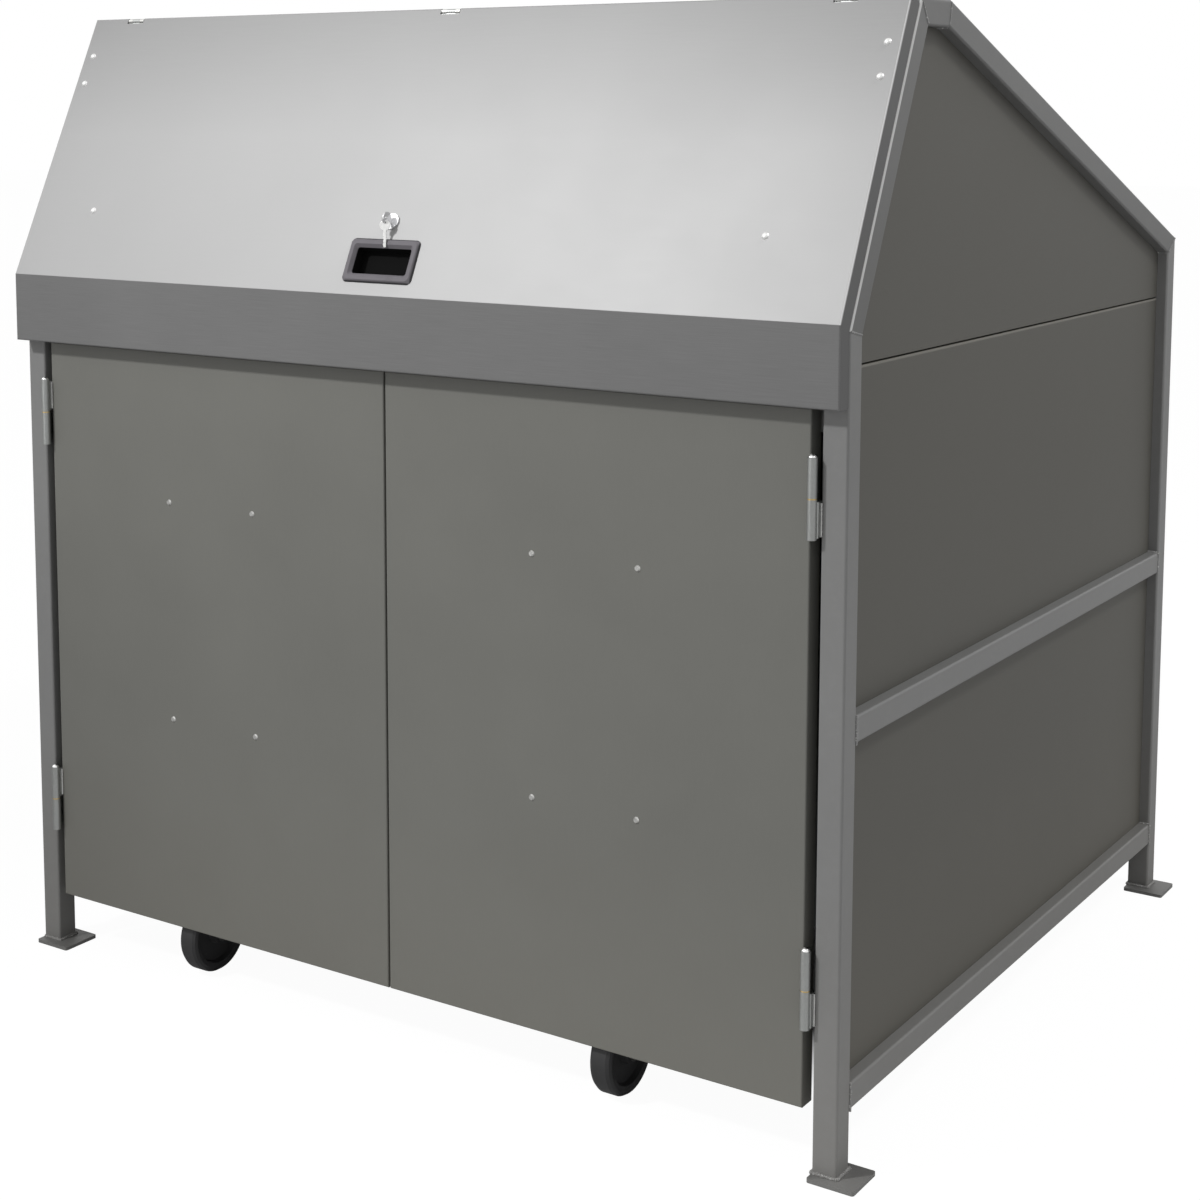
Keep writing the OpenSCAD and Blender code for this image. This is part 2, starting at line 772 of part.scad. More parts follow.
// Makes a copy for each rod: the left one is turned half round the lock's axis
module at_both_rods() {
    for (turn = [0, 180])
        translate([0, lock_v, 0]) rotate([0, 0, turn]) children();
}

// The right lock rod
module lock_rod() {
    start = disc_d / 2 + 18;
    slot_w = crank_pin_d + 2 * yoke_slack;
    slot_low = crank_r * cos(45) - crank_pin_d / 2 - 1;
    slot_high = crank_r + crank_pin_d / 2 + 1;
    pin_x = crank_pins[0][0];
    yoke_half = slot_w / 2 + 4;
    difference() {
        union() {
            translate([start, rod_offset, rod_o])
                rotate([0, 90, 0]) cylinder(d = rod_d, h = rod_end_x - start);
            translate([pin_x - yoke_half, rod_offset - 5, rod_o - yoke_t / 2])
                cube([start + 14 - pin_x + yoke_half, 10, yoke_t]);
            translate([pin_x - yoke_half, rod_offset - 5, rod_o - yoke_t / 2])
                cube([2 * yoke_half, slot_high + 4 - rod_offset + 5, yoke_t]);
        }
        translate([pin_x - slot_w / 2, slot_low, 0]) cube([slot_w, slot_high - slot_low, 2 * rod_o]);
    }
}

module right_lock_rod() {
    place() color("silver") on_slope() translate([0, lock_v, 0]) lock_rod();
}

module left_lock_rod() {
    place() color("silver") on_slope() translate([0, lock_v, 0]) rotate([0, 0, 180]) lock_rod();
}

module lock_rod_guides() {
    face_in = flap_proud - flap_t;
    half_v = rod_offset + rod_d / 2 + 5;
    low = rod_o - rod_d / 2 - 3;
    place() color("silver") on_slope() at_both_rods() difference() {
        union() {
            translate([guide_x - 20, -half_v, face_in - bracket_t])
                cube([guide_leg_x - guide_x + 24, 2 * half_v, bracket_t]);
            translate([guide_leg_x, -half_v, low]) cube([4, 2 * half_v, face_in - low]);
        }
        translate([guide_x, 0, 0]) cylinder(d = bolt_d + 2 * bolt_fit, h = 2 * flap_proud);
        translate([guide_leg_x - eps, rod_offset, rod_o])
            rotate([0, 90, 0]) cylinder(d = rod_d + 2 * slip, h = 4 + 2 * eps);
    }
}

module lock_strikes() {
    low = -tube * 0.6;
    high = rod_o + rod_d / 2 + 8;
    half_v = rod_offset + rod_d / 2 + 8;
    place() color("dimgray") on_slope() at_both_rods() difference() {
        translate([inner_x - strike_t, -half_v, low]) cube([strike_t, 2 * half_v, high - low]);
        translate([inner_x - strike_t - eps, rod_offset, rod_o])
            rotate([0, 90, 0]) cylinder(d = rod_d + 2 * strike_slack, h = strike_t + 2 * eps);
    }
}

// Gas struts
module strut_brackets() {
    face_in = flap_proud - flap_t;
    lug_x = strut_x + strut_eye_w / 2 + 3;
    lug_t = 3;
    plate_in = lug_x;
    plate_out = bracket_bolt_x + 14;
    half_v = bracket_bolt_pitch / 2 + 14;
    place() color("silver") on_slope() both_sides() translate([0, strut_v, 0]) {
        difference() {
            translate([plate_in, -half_v, face_in - bracket_t])
                cube([plate_out - plate_in, 2 * half_v, bracket_t]);
            for (v = [-1, 1])
                translate([bracket_bolt_x, v * bracket_bolt_pitch / 2, 0])
                    cylinder(d = bolt_d + 2 * bolt_fit, h = 2 * flap_proud);
        }
        translate([lug_x, -12, strut_o - 8]) cube([lug_t, 24, face_in - strut_o + 8 - eps]);
        translate([lug_x + eps, 0, strut_o]) rotate([0, -90, 0])
            cylinder(d = stud_d, h = lug_x + eps - strut_x - strut_eye_w / 2 - slip);
    }
}

module strut_studs() {
    place() color("silver") both_sides()
        translate([inner_x, strut_g[0], strut_g[1]]) rotate([0, -90, 0]) {
            cylinder(d = stud_d, h = strut_inset + strut_eye_w / 2 + slip + 3);
            cylinder(d = stud_d + 6, h = strut_inset - strut_eye_w / 2 - slip);
            translate([0, 0, strut_inset + strut_eye_w / 2 + slip]) cylinder(d = stud_d + 5, h = 3);
        }
}

// Puts children into the strut's own axes: Z runs from the frame stud to the flap stud
module on_strut() {
    translate([strut_x, strut_g[0], strut_g[1]])
        rotate([strut_a - 90, 0, 0]) children();
}

module strut_rod() {
    on_strut() {
        difference() {
            union() {
                translate([-strut_eye_w / 2, 0, 0])
                    rotate([0, 90, 0]) cylinder(d = strut_eye_d, h = strut_eye_w);
                cylinder(d = strut_eye_d - 3, h = 18);
            }
            translate([-strut_eye_w / 2 - eps, 0, 0]) rotate([0, 90, 0])
                cylinder(d = stud_d + 2 * run_fit, h = strut_eye_w + 2 * eps);
        }
        translate([0, 0, 12]) cylinder(d = strut_rod_d, h = strut_len - strut_spare);
    }
}

module strut_cylinder() {
    top = strut_len - 20;
    on_strut() {
        difference() {
            translate([0, 0, strut_free]) cylinder(d = strut_d, h = top - strut_free);
            translate([0, 0, strut_free - eps])
                cylinder(d = strut_rod_d + 2 * run_fit, h = strut_cap + 2 * eps);
            translate([0, 0, strut_free + strut_cap])
                cylinder(d = strut_bore_d, h = top - strut_free - 2 * strut_cap);
        }
        translate([0, 0, top - eps]) cylinder(d = strut_eye_d - 3, h = 14);
        translate([-strut_eye_w / 2, 0, strut_len])
            rotate([0, 90, 0]) cylinder(d = strut_eye_d, h = strut_eye_w);
    }
}

module right_strut_rod() {
    place() color("silver") strut_rod();
}

module left_strut_rod() {
    place() color("silver") mirror([1, 0, 0]) strut_rod();
}

module right_strut_cylinder() {
    place() color("black") strut_cylinder();
}

module left_strut_cylinder() {
    place() color("black") mirror([1, 0, 0]) strut_cylinder();
}

// Doors, drawn on the right
module door() {
    h = door_top - door_z;
    difference() {
        intersection() {
            translate([door_mid, door_depth, door_z])
                linear_extrude(h) round_rect(door_w, 2 * door_depth, door_bend_r);
            translate([door_in, door_depth, door_z + h / 2]) rotate([90, 0, 90])
                linear_extrude(door_w) round_rect(2 * door_depth, h, door_bend_r);
            translate([door_in, 0, door_z]) cube([door_w, door_depth, h]);
        }
        translate([door_in + door_t, door_t, door_z + door_t])
            cube([door_w - 2 * door_t, door_depth, h - 2 * door_t]);
        translate([door_in + door_t, door_hem, door_z - eps])
            cube([door_w - 2 * door_t, door_depth, h + 2 * eps]);
        screw_places() rotate([-90, 0, 0])
            translate([0, 0, -eps]) cylinder(d = screw_d + 2 * bolt_fit, h = door_t + 2 * eps);
    }
}

module screw_places() {
    for (x = screw_cols)
        for (z = screw_rows)
            translate([x, 0, z]) children();
}

module right_door() {
    place() color("gray") door();
}

module left_door() {
    place() color("gray") mirror([1, 0, 0]) door();
}

// Channels that stiffen a door, web against the skin
module door_stiffeners() {
    wall = 1.5;
    x0 = door_in + stiff_end;
    x1 = door_out - stiff_end;
    for (z = screw_rows) translate([x0, door_t, z - stiff_h / 2]) difference() {
        cube([x1 - x0, stiff_depth, stiff_h]);
        translate([-eps, wall, wall]) cube([x1 - x0 + 2 * eps, stiff_depth, stiff_h - 2 * wall]);
        for (x = screw_cols)
            translate([x - x0, -eps, stiff_h / 2])
                rotate([-90, 0, 0]) cylinder(d = screw_d + 2 * bolt_fit, h = wall + 2 * eps);
    }
}

module right_door_stiffeners() {
    place() color("gray") door_stiffeners();
}

module left_door_stiffeners() {
    place() color("gray") mirror([1, 0, 0]) door_stiffeners();
}

module door_screws() {
    nut_y = door_t + 1.5;
    screw_places() rotate([-90, 0, 0]) {
        translate([0, 0, -screw_head_t]) cylinder(d1 = screw_head_d - 3, d2 = screw_head_d, h = screw_head_t);
        translate([0, 0, -eps]) cylinder(d = screw_d, h = nut_y + 7 + eps);
        translate([0, 0, nut_y]) cylinder(d = screw_nut_d, h = 4, $fn = 6);
    }
}

module right_door_screws() {
    place() color("silver") door_screws();
}

module left_door_screws() {
    place() color("silver") mirror([1, 0, 0]) door_screws();
}

// Lift-off hinges: the upper knuckle is on the door, the lower one on the upright
module barrel(z) {
    translate([hinge_x, -barrel_out, z]) children();
}

module door_knuckles() {
    for (z = hinge_heights) difference() {
        union() {
            barrel(z + washer_t / 2) cylinder(d = barrel_d, h = knuckle_len);
            translate([door_out, -barrel_out, z + washer_t / 2 + 3])
                cube([leaf_t, barrel_out + leaf_depth, knuckle_len - 6]);
        }
        barrel(z) cylinder(d = pin_d + 2 * run_fit, h = knuckle_len + washer_t + eps);
    }
}

module right_door_knuckles() {
    place() color("silver") door_knuckles();
}

module left_door_knuckles() {
    place() color("silver") mirror([1, 0, 0]) door_knuckles();
}

module frame_knuckles() {
    place() color("silver") both_sides() for (z = hinge_heights) difference() {
        union() {
            barrel(z - washer_t / 2 - knuckle_len) cylinder(d = barrel_d, h = knuckle_len);
            translate([inner_x - leaf_t, -barrel_out, z - washer_t / 2 - knuckle_len + 3])
                cube([leaf_t, barrel_out + leaf_depth, knuckle_len - 6]);
        }
        barrel(z - washer_t / 2 - knuckle_len + 4) cylinder(d = pin_d, h = knuckle_len);
    }
}

module door_hinge_pins() {
    low = washer_t / 2 + knuckle_len - 4;
    high = washer_t / 2 + knuckle_len + slip;
    cap_d = barrel_d - 2;
    cap_r = (cap_d * cap_d / 4 + dome_h * dome_h) / (2 * dome_h);
    place() color("silver") both_sides() for (z = hinge_heights) barrel(z) {
        translate([0, 0, -low]) cylinder(d = pin_d, h = low + high + eps);
        intersection() {
            translate([0, 0, high + dome_h - cap_r]) sphere(cap_r, $fn = 48);
            translate([0, 0, high]) cylinder(d = cap_d, h = dome_h + eps);
        }
    }
}

module door_hinge_washers() {
    place() color("goldenrod") both_sides() for (z = hinge_heights)
        barrel(z - washer_t / 2) difference() {
            cylinder(d = barrel_d - 1, h = washer_t);
            translate([0, 0, -eps]) cylinder(d = pin_d + 2 * slip, h = washer_t + 2 * eps);
        }
}

// Bin
module tub_body(w, d, z0, h, taper) {
    w0 = w - 2 * taper;
    d0 = d - 2 * taper;
    translate([bin_x, tub_y, z0])
        linear_extrude(h, scale = [w / w0, d / d0], slices = 1) round_rect(w0, d0, tub_r);
}

module bin_tub() {
    h = tub_h - tub_z;
    rim_h = 28;
    rim_w = 22;
    place() color("darkslategray") difference() {
        union() {
            tub_body(tub_w - 2 * rim_w, tub_d - 2 * rim_w, tub_z, h, tub_taper - rim_w);
            translate([bin_x, tub_y, tub_h - rim_h])
                linear_extrude(rim_h) round_rect(tub_w, tub_d, tub_r);
        }
        tub_body(tub_w - 2 * (rim_w + tub_wall), tub_d - 2 * (rim_w + tub_wall),
            tub_z + tub_wall, h, tub_taper - rim_w);
        translate([bin_x, tub_y, tub_h - rim_h - eps]) linear_extrude(rim_h - tub_wall + eps)
            difference() {
                round_rect(tub_w - 2 * tub_wall, tub_d - 2 * tub_wall, tub_r - tub_wall);
                round_rect(tub_w - 2 * rim_w, tub_d - 2 * rim_w, tub_r - tub_wall);
            }
    }
}

module base_bar(y) {
    len = castor_w + bar_over;
    translate([bin_x - len / 2, y - bar_w / 2, bar_z]) difference() {
        cube([len, bar_w, bar_h]);
        translate([-eps, bar_wall, -eps]) cube([len + 2 * eps, bar_w - 2 * bar_wall, bar_h - bar_wall + eps]);
    }
}

// Channels under the tub; the front one carries the swivel castors' plates and kingpins
module bin_base_bars() {
    place() color("dimgray") {
        base_bar(swivel_y);
        base_bar(rear_axle_y);
        for (s = [-1, 1]) translate([bin_x + s * castor_w / 2, swivel_y, 0]) {
            translate([-plate_w / 2, -plate_l / 2, plate_z]) cube([plate_w, plate_l, plate_t]);
            translate([0, 0, head_z - 1]) cylinder(d = axle_d, h = plate_z - head_z + 1 + eps);
        }
    }
}

// One leg of a fork, from the head at y = 0 to the axle at y = -trail
module fork_leg(trail, top) {
    rotate([90, 0, 90]) linear_extrude(fork_t) hull() {
        translate([-trail, wheel_r]) circle(axle_d / 2 + 5);
        translate([-fork_w / 2, top - fork_t]) square([fork_w, fork_t]);
    }
}

// Two legs, the web over the wheel and the axle with its nuts
module castor_fork(trail, top) {
    out = fork_in + fork_t;
    nut_t = 6;
    for (s = [-1, 1]) {
        translate([s * (fork_in + fork_t / 2) - fork_t / 2, 0, 0]) fork_leg(trail, top);
        translate([s * (out + nut_t / 2) - nut_t / 2, -trail, wheel_r]) rotate([0, 90, 0])
            cylinder(d = axle_d + 7, h = nut_t, $fn = 6);
    }
    translate([-out, -fork_w / 2, top - fork_t]) cube([2 * out, fork_w, fork_t]);
    translate([-out - nut_t - 2, -trail, wheel_r]) rotate([0, 90, 0])
        cylinder(d = axle_d, h = 2 * (out + nut_t + 2));
}

module swivel_fork() {
    difference() {
        union() {
            castor_fork(castor_trail, head_z + fork_t);
            translate([0, 0, head_z]) cylinder(d = head_d - 8, h = head_t);
            translate([0, 0, head_z + fork_t]) cylinder(d = head_d, h = head_t / 2);
        }
        translate([0, 0, head_z - eps]) cylinder(d = axle_d + 2 * run_fit, h = head_t + 2 * eps);
    }
}

module left_castor_fork() {
    place() color("silver") translate([bin_x - castor_w / 2, swivel_y, 0]) swivel_fork();
}

module right_castor_fork() {
    place() color("silver") translate([bin_x + castor_w / 2, swivel_y, 0]) swivel_fork();
}

module rear_castor_forks() {
    place() color("silver") for (s = [-1, 1])
        translate([bin_x + s * castor_w / 2, rear_axle_y, 0]) {
            castor_fork(0, bar_z);
            translate([-plate_w / 2, -plate_l / 2, bar_z - plate_t]) cube([plate_w, plate_l, plate_t]);
        }
}

module wheel() {
    tread_w = wheel_w / 2;
    rim_r = wheel_r - 16;
    rotate([0, 90, 0]) rotate_extrude($fn = 96) polygon([
        [axle_d / 2 + run_fit, -hub_w / 2], [16, -hub_w / 2], [18, -8], [rim_r - 3, -8],
        [rim_r, -tread_w + 2], [wheel_r - 8, -tread_w], [wheel_r - 3, -tread_w + 2],
        [wheel_r, -tread_w + 7], [wheel_r, tread_w - 7], [wheel_r - 3, tread_w - 2],
        [wheel_r - 8, tread_w], [rim_r, tread_w - 2], [rim_r - 3, 8], [18, 8],
        [16, hub_w / 2], [axle_d / 2 + run_fit, hub_w / 2]]);
}

module wheel_at(side, y) {
    place() color("black") translate([bin_x + side * castor_w / 2, y, wheel_r]) wheel();
}

module left_castor_wheel() {
    wheel_at(-1, front_axle_y);
}

module right_castor_wheel() {
    wheel_at(1, front_axle_y);
}

module left_rear_wheel() {
    wheel_at(-1, rear_axle_y);
}

module right_rear_wheel() {
    wheel_at(1, rear_axle_y);
}

front_uprights();
rear_uprights();
front_rakers();
rear_rakers();
apex_tubes();
mid_rails();
bottom_rails();
foot_plates();
apex_crossbeam();
front_header();
rear_crossbeams();
left_lower_panel();
left_middle_panel();
left_gable_panel();
right_lower_panel();
right_middle_panel();
right_gable_panel();
rear_lower_panel();
rear_upper_panel();
roof_panel();
flap_shell();
flap_handle();
flap_bolts();
flap_hinge_flap_leaves();
flap_hinge_frame_leaves();
flap_buffers();
lock_body();
lock_rotor();
lock_key();
left_lock_rod();
right_lock_rod();
lock_rod_guides();
lock_strikes();
strut_brackets();
strut_studs();
left_strut_rod();
right_strut_rod();
left_strut_cylinder();
right_strut_cylinder();
left_door();
right_door();
left_door_stiffeners();
right_door_stiffeners();
left_door_screws();
right_door_screws();
left_door_knuckles();
right_door_knuckles();
frame_knuckles();
door_hinge_pins();
door_hinge_washers();
bin_tub();
bin_base_bars();
left_castor_fork();
right_castor_fork();
left_castor_wheel();
right_castor_wheel();
rear_castor_forks();
left_rear_wheel();
right_rear_wheel();
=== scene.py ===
# Looks for the bin enclosure: painted and plated finishes, weld seams, rivets and the small
# trim that the solids leave out. Everything is in metres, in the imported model's own frame.
import json
import math

import bmesh
import bpy
from mathutils import Matrix, Vector

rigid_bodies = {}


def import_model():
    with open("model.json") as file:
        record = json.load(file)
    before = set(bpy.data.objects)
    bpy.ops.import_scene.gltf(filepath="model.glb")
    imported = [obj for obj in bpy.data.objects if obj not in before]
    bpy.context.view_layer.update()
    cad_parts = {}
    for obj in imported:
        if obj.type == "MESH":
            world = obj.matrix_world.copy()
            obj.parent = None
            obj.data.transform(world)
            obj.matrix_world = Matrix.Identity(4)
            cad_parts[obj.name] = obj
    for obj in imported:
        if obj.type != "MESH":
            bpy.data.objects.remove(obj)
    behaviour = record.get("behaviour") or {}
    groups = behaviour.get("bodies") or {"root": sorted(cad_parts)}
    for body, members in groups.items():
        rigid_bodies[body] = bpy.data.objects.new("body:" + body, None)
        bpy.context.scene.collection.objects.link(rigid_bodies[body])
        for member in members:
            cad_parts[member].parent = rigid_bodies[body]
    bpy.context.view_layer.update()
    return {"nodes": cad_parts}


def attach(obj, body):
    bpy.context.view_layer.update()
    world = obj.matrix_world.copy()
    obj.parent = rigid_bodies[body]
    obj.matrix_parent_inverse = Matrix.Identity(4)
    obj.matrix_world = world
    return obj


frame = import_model()
nodes = frame["nodes"]
scene = bpy.context.scene
scene.view_settings.view_transform = "Standard"

# Sizes of the object in millimetres, as in its source
HALF_W = 810
DEPTH = 1410
TUBE = 40
KNEE = (0, 1225)
APEX = (215, 1685)
APEX_BACK = (322, 1685)
REAR_KNEE = (1410, 1285)
BOTTOM_RAIL = (95, 135)
MID_RAIL = (637, 677)
HEADER = ((31.5, 40), (1078, 1118))
FOOT_T = 6
# Top edge of the middle side panels, at their seam with the gable panels
SEAM_Z = 1169.5
# Heights of the washers between the door hinges' knuckles
WASHERS = (281, 990)
# Width and height of the handle's border, and the height of its middle up the slope
HANDLE = (137, 74, 56)
# Height of the lock's axis up the slope
LOCK_V = 123
# Axes of the castor plates, and the height of their underside
CASTOR_X = (-459, 401)
CASTOR_Y = (113, 1085)
CASTOR_PLATE_Z = 153.4

SLOPE = math.atan2(APEX[1] - KNEE[1], APEX[0] - KNEE[0])
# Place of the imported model's origin, from the middle of the width and the front face
ORIGIN = (17.5, 697.0)


def at(x, y, z):
    """A point given in millimetres from the front face and the middle of the width."""
    return Vector(((x - ORIGIN[0]) / 1000, (y - ORIGIN[1]) / 1000, z / 1000))


def on_slope(x, v, o):
    """A point v up the slope from the knee and o outwards from the rakers' plane."""
    c, s = math.cos(SLOPE), math.sin(SLOPE)
    return at(x, v * c - o * s, KNEE[1] + v * s + o * c)


# Shader maths
class Socket:
    """A value in a shader node tree that takes part in Python expressions."""

    def __init__(self, tree, socket):
        self.tree = tree
        self.socket = socket

    def math(self, operation, other, swap=False):
        pair = [other, self] if swap else [self, other]
        return self.tree.node("ShaderNodeMath", {"operation": operation}, dict(enumerate(pair)))

    def __add__(self, other):
        return self.math("ADD", other)

    def __radd__(self, other):
        return self.math("ADD", other, swap=True)

    def __sub__(self, other):
        return self.math("SUBTRACT", other)

    def __rsub__(self, other):
        return self.math("SUBTRACT", other, swap=True)

    def __mul__(self, other):
        return self.math("MULTIPLY", other)

    def __rmul__(self, other):
        return self.math("MULTIPLY", other, swap=True)

    def size(self):
        return self.math("ABSOLUTE", 0.0)

    def top(self, other):
        return self.math("MAXIMUM", other)

    def clamp(self):
        return self.tree.node("ShaderNodeClamp", {}, {"Value": self})


class Shading:
    """A shader node tree that starts empty and is built by named methods."""

    def __init__(self, tree):
        tree.nodes.clear()
        self.nodes = tree.nodes
        self.links = tree.links

    def put(self, target, value):
        if isinstance(value, Socket):
            self.links.new(value.socket, target)
        else:
            target.default_value = value

    def node(self, kind, settings, inputs, output=0):
        """Any node: its settings are set first, then the values or links of its sockets.

        It gives one of the node's outputs, or the node itself where output is None.
        """
        made = self.nodes.new(kind)
        for name, value in settings.items():
            if name == "stops":
                ramp = made.color_ramp
                while len(ramp.elements) < len(value):
                    ramp.elements.new(0.5)
                for element, (position, grey) in zip(ramp.elements, value):
                    element.position = position
                    element.color = (grey, grey, grey, 1)
            else:
                setattr(made, name, value)
        for name, value in inputs.items():
            self.put(made.inputs[name], value)
        return made if output is None else Socket(self, made.outputs[output])

    def end(self, kind, shader):
        """The tree's output node, fed by a shader."""
        self.node(kind, {}, {"Surface": shader}, None)

    def part(self, vector, axis):
        """One coordinate of a vector."""
        return self.node("ShaderNodeSeparateXYZ", {}, {"Vector": vector}, axis)

    def mixed(self, mask, below, above):
        """A shader laid over another one where the mask is 1."""
        return self.node("ShaderNodeMixShader", {}, {0: mask, 1: below, 2: above})


class Finish(Shading):
    """A material of one principled shader."""

    def __init__(self, name):
        self.material = bpy.data.materials.new(name)
        self.material.use_nodes = True
        super().__init__(self.material.node_tree)
        self.shader = self.node("ShaderNodeBsdfPrincipled", {}, {}, None)
        self.end("ShaderNodeOutputMaterial", Socket(self, self.shader.outputs[0]))
        self.place = self.node("ShaderNodeTexCoord", {}, {}, "Object")

    def shade(self, **inputs):
        for name, value in inputs.items():
            self.put(self.shader.inputs[name.replace("_", " ")], value)

    def stretched(self, scale):
        return self.node("ShaderNodeMapping", {}, {"Vector": self.place, "Scale": scale})

    def noise(self, scale, detail, rough, where=None):
        return self.node("ShaderNodeTexNoise", {"noise_dimensions": "3D"},
                         {"Vector": where or self.place, "Scale": scale, "Detail": detail,
                          "Roughness": rough}, "Fac")

    def ramp(self, value, *stops):
        return self.node("ShaderNodeValToRGB", {"stops": stops}, {"Fac": value})

    def between(self, mask, low, high):
        """A colour between two, by a mask from 0 to 1."""
        return self.node("ShaderNodeMix", {"data_type": "RGBA"},
                         {"Factor": mask, 6: (*low, 1), 7: (*high, 1)}, 2)

    def over(self, mask, below, colour):
        """A flat colour laid over another one where the mask is 1."""
        return self.node("ShaderNodeMix", {"data_type": "RGBA"},
                         {"Factor": mask, 6: below, 7: (*colour, 1)}, 2)

    def along(self, axis):
        """One coordinate of the place on the object."""
        return self.part(self.place, axis)

    def aside(self):
        """Distance from the middle of the width."""
        return (self.along("X") + ORIGIN[0] / 1000).size()

    def outwards(self):
        """Distance outwards from the rakers' sloping plane."""
        knee = at(0, *KNEE)
        return ((self.along("Z") - knee.z) * math.cos(SLOPE)
                - (self.along("Y") - knee.y) * math.sin(SLOPE))

    def upwards(self):
        """Distance up the rakers' slope from the knee."""
        knee = at(0, *KNEE)
        return ((self.along("Z") - knee.z) * math.sin(SLOPE)
                + (self.along("Y") - knee.y) * math.cos(SLOPE))

    def facing(self, axis):
        """How far the surface of the closed piece faces along an axis, also when it moves."""
        return self.part(self.node("ShaderNodeTexCoord", {}, {}, "Normal"), axis)

    def bump(self, value, depth, strength):
        return self.node("ShaderNodeBump", {},
                         {"Height": value, "Distance": depth, "Strength": strength}, "Normal")


def tint(colour, factor):
    return tuple(min(1.0, channel * factor) for channel in colour)


DUST = (0.26, 0.235, 0.19)
# Colour of the painted glints on weld spatter
SPATTER_GLINT = (0.7, 0.7, 0.69)
# Colour of the painted highlight along the rakers' front edge
EDGE_HIGHLIGHT = (0.82, 0.82, 0.81)


def powder_coat(name, colour, rough, grain=(1, 1, 1), dirt=0.35, fold=None, spatter_glints=False,
                edge=None):
    """Satin paint over sheet or tube, with a fine texture and dust towards the ground.

    fold is the height of a bend that gets a painted highlight line, spatter adds bright
    specks painted as glints on a weld, and edge is the width of a painted highlight along
    the rakers' front edge.
    """
    f = Finish(name)
    broad = f.noise(3.5, 4.0, 0.6)
    fine = f.noise(900.0, 2.0, 0.5)
    streak = f.noise(60.0, 3.0, 0.6, f.stretched(grain))
    base = f.between(broad, tint(colour, 0.9), tint(colour, 1.1))
    base = f.over(f.ramp(streak, (0.5, 0), (0.9, 0.25)), base, tint(colour, 1.25))
    z = f.along("Z")
    dust = f.ramp(z + (broad - 0.5) * 0.25, (0.0, 0.5 * dirt), (0.45, 0.0))
    base = f.over(dust, base, DUST)
    # Painted highlight: a lighter line along the bend at the fold's height
    if fold:
        line = f.ramp((z - fold) * 100 + 0.5, (0.1, 0), (0.2, 1), (0.5, 1), (0.55, 0))
        base = f.over(line, base, tint(colour, 2.2))
    # Painted glints: bright specks where the weld's rough spatter would catch the light
    if spatter_glints:
        specks = f.ramp(f.noise(330.0, 2.0, 0.5), (0.6, 0), (0.68, 1))
        base = f.over(specks, base, SPATTER_GLINT)
    # Painted highlight: a bright line along the rakers' front outer corner, where the tube would
    # catch the light
    if edge:
        line = f.ramp(f.outwards() * 100 + 0.5, (0.5 - 100 * edge, 0), (0.5 - 60 * edge, 0.9))
        outer = f.ramp((f.aside() - HALF_W / 1000) * 100 + 0.5, (0.15, 0), (0.3, 0.9))
        base = f.over(line * outer, base, EDGE_HIGHLIGHT)
    f.shade(Base_Color=base, Metallic=0.0, IOR=1.5, Specular_IOR_Level=0.5,
            Roughness=(rough + (broad - 0.5) * 0.16 + dust * 0.3).clamp(),
            Normal=f.bump(fine * 0.6 + streak * 0.4, 0.00004, 0.6))
    return f.material


def plated(name, colour, rough, spots=0.3, metallic=1.0):
    """Zinc or nickel plate: mottled reflections and dull patches."""
    f = Finish(name)
    mottle = f.noise(260.0, 3.0, 0.6)
    broad = f.noise(22.0, 3.0, 0.5)
    base = f.between(mottle, tint(colour, 0.82), tint(colour, 1.08))
    dull = f.ramp(broad, (0.45, 0), (0.75, spots))
    f.shade(Base_Color=f.over(dull, base, tint(colour, 0.62)), Metallic=metallic,
            Roughness=(rough + dull * 0.35 + (mottle - 0.5) * 0.12).clamp(),
            Normal=f.bump(mottle, 0.00003, 0.5))
    return f.material


def moulded(name, colour, rough, grain=700.0):
    """Moulded plastic or rubber with a fine eroded grain and grey scuffs."""
    f = Finish(name)
    grained = f.noise(grain, 2.0, 0.5)
    scuffs = f.ramp(f.noise(35.0, 5.0, 0.7), (0.58, 0), (0.8, 0.5))
    base = f.between(f.noise(12.0, 3.0, 0.5), tint(colour, 0.85), tint(colour, 1.2))
    base = f.over(scuffs, base, tuple(0.5 * channel + 0.07 for channel in colour))
    f.shade(Base_Color=base, Roughness=(rough + scuffs * 0.2).clamp(),
            Normal=f.bump(grained, 0.00006, 0.7))
    return f.material


def pocket_plastic():
    """The handle's matt plastic: a greyed border round a black pocket, darkened as painted
    shade.
    """
    # The pocket's near-black is black plastic made darker as painted shade in the recess
    pocket, face, outer_rim, scuff = ((0.002, 0.002, 0.002), (0.17, 0.161, 0.175),
                                      (0.03, 0.03, 0.032), (0.09, 0.085, 0.09))
    f = Finish("handle_plastic")
    border = f.ramp(f.outwards() * 20, (0.57, 0), (0.61, 1))
    grained = f.noise(700.0, 2.0, 0.5)
    wide = f.aside() - HANDLE[0] / 2000
    high = (f.upwards() - HANDLE[2] / 1000).size() - HANDLE[1] / 2000
    rim = f.ramp(wide.top(high) * 100 + 0.6, (0.3, 0), (0.5, 1))
    base = f.between(border, pocket, face)
    base = f.over(rim * border, base, outer_rim)
    scuffs = f.ramp(f.noise(30.0, 4.0, 0.6), (0.5, 0), (0.8, 0.35))
    base = f.over(scuffs * border, base, scuff)
    f.shade(Base_Color=base, Roughness=0.92 - border * 0.3, Specular_IOR_Level=0.16,
            Normal=f.bump(grained, 0.00005, 0.6))
    return f.material


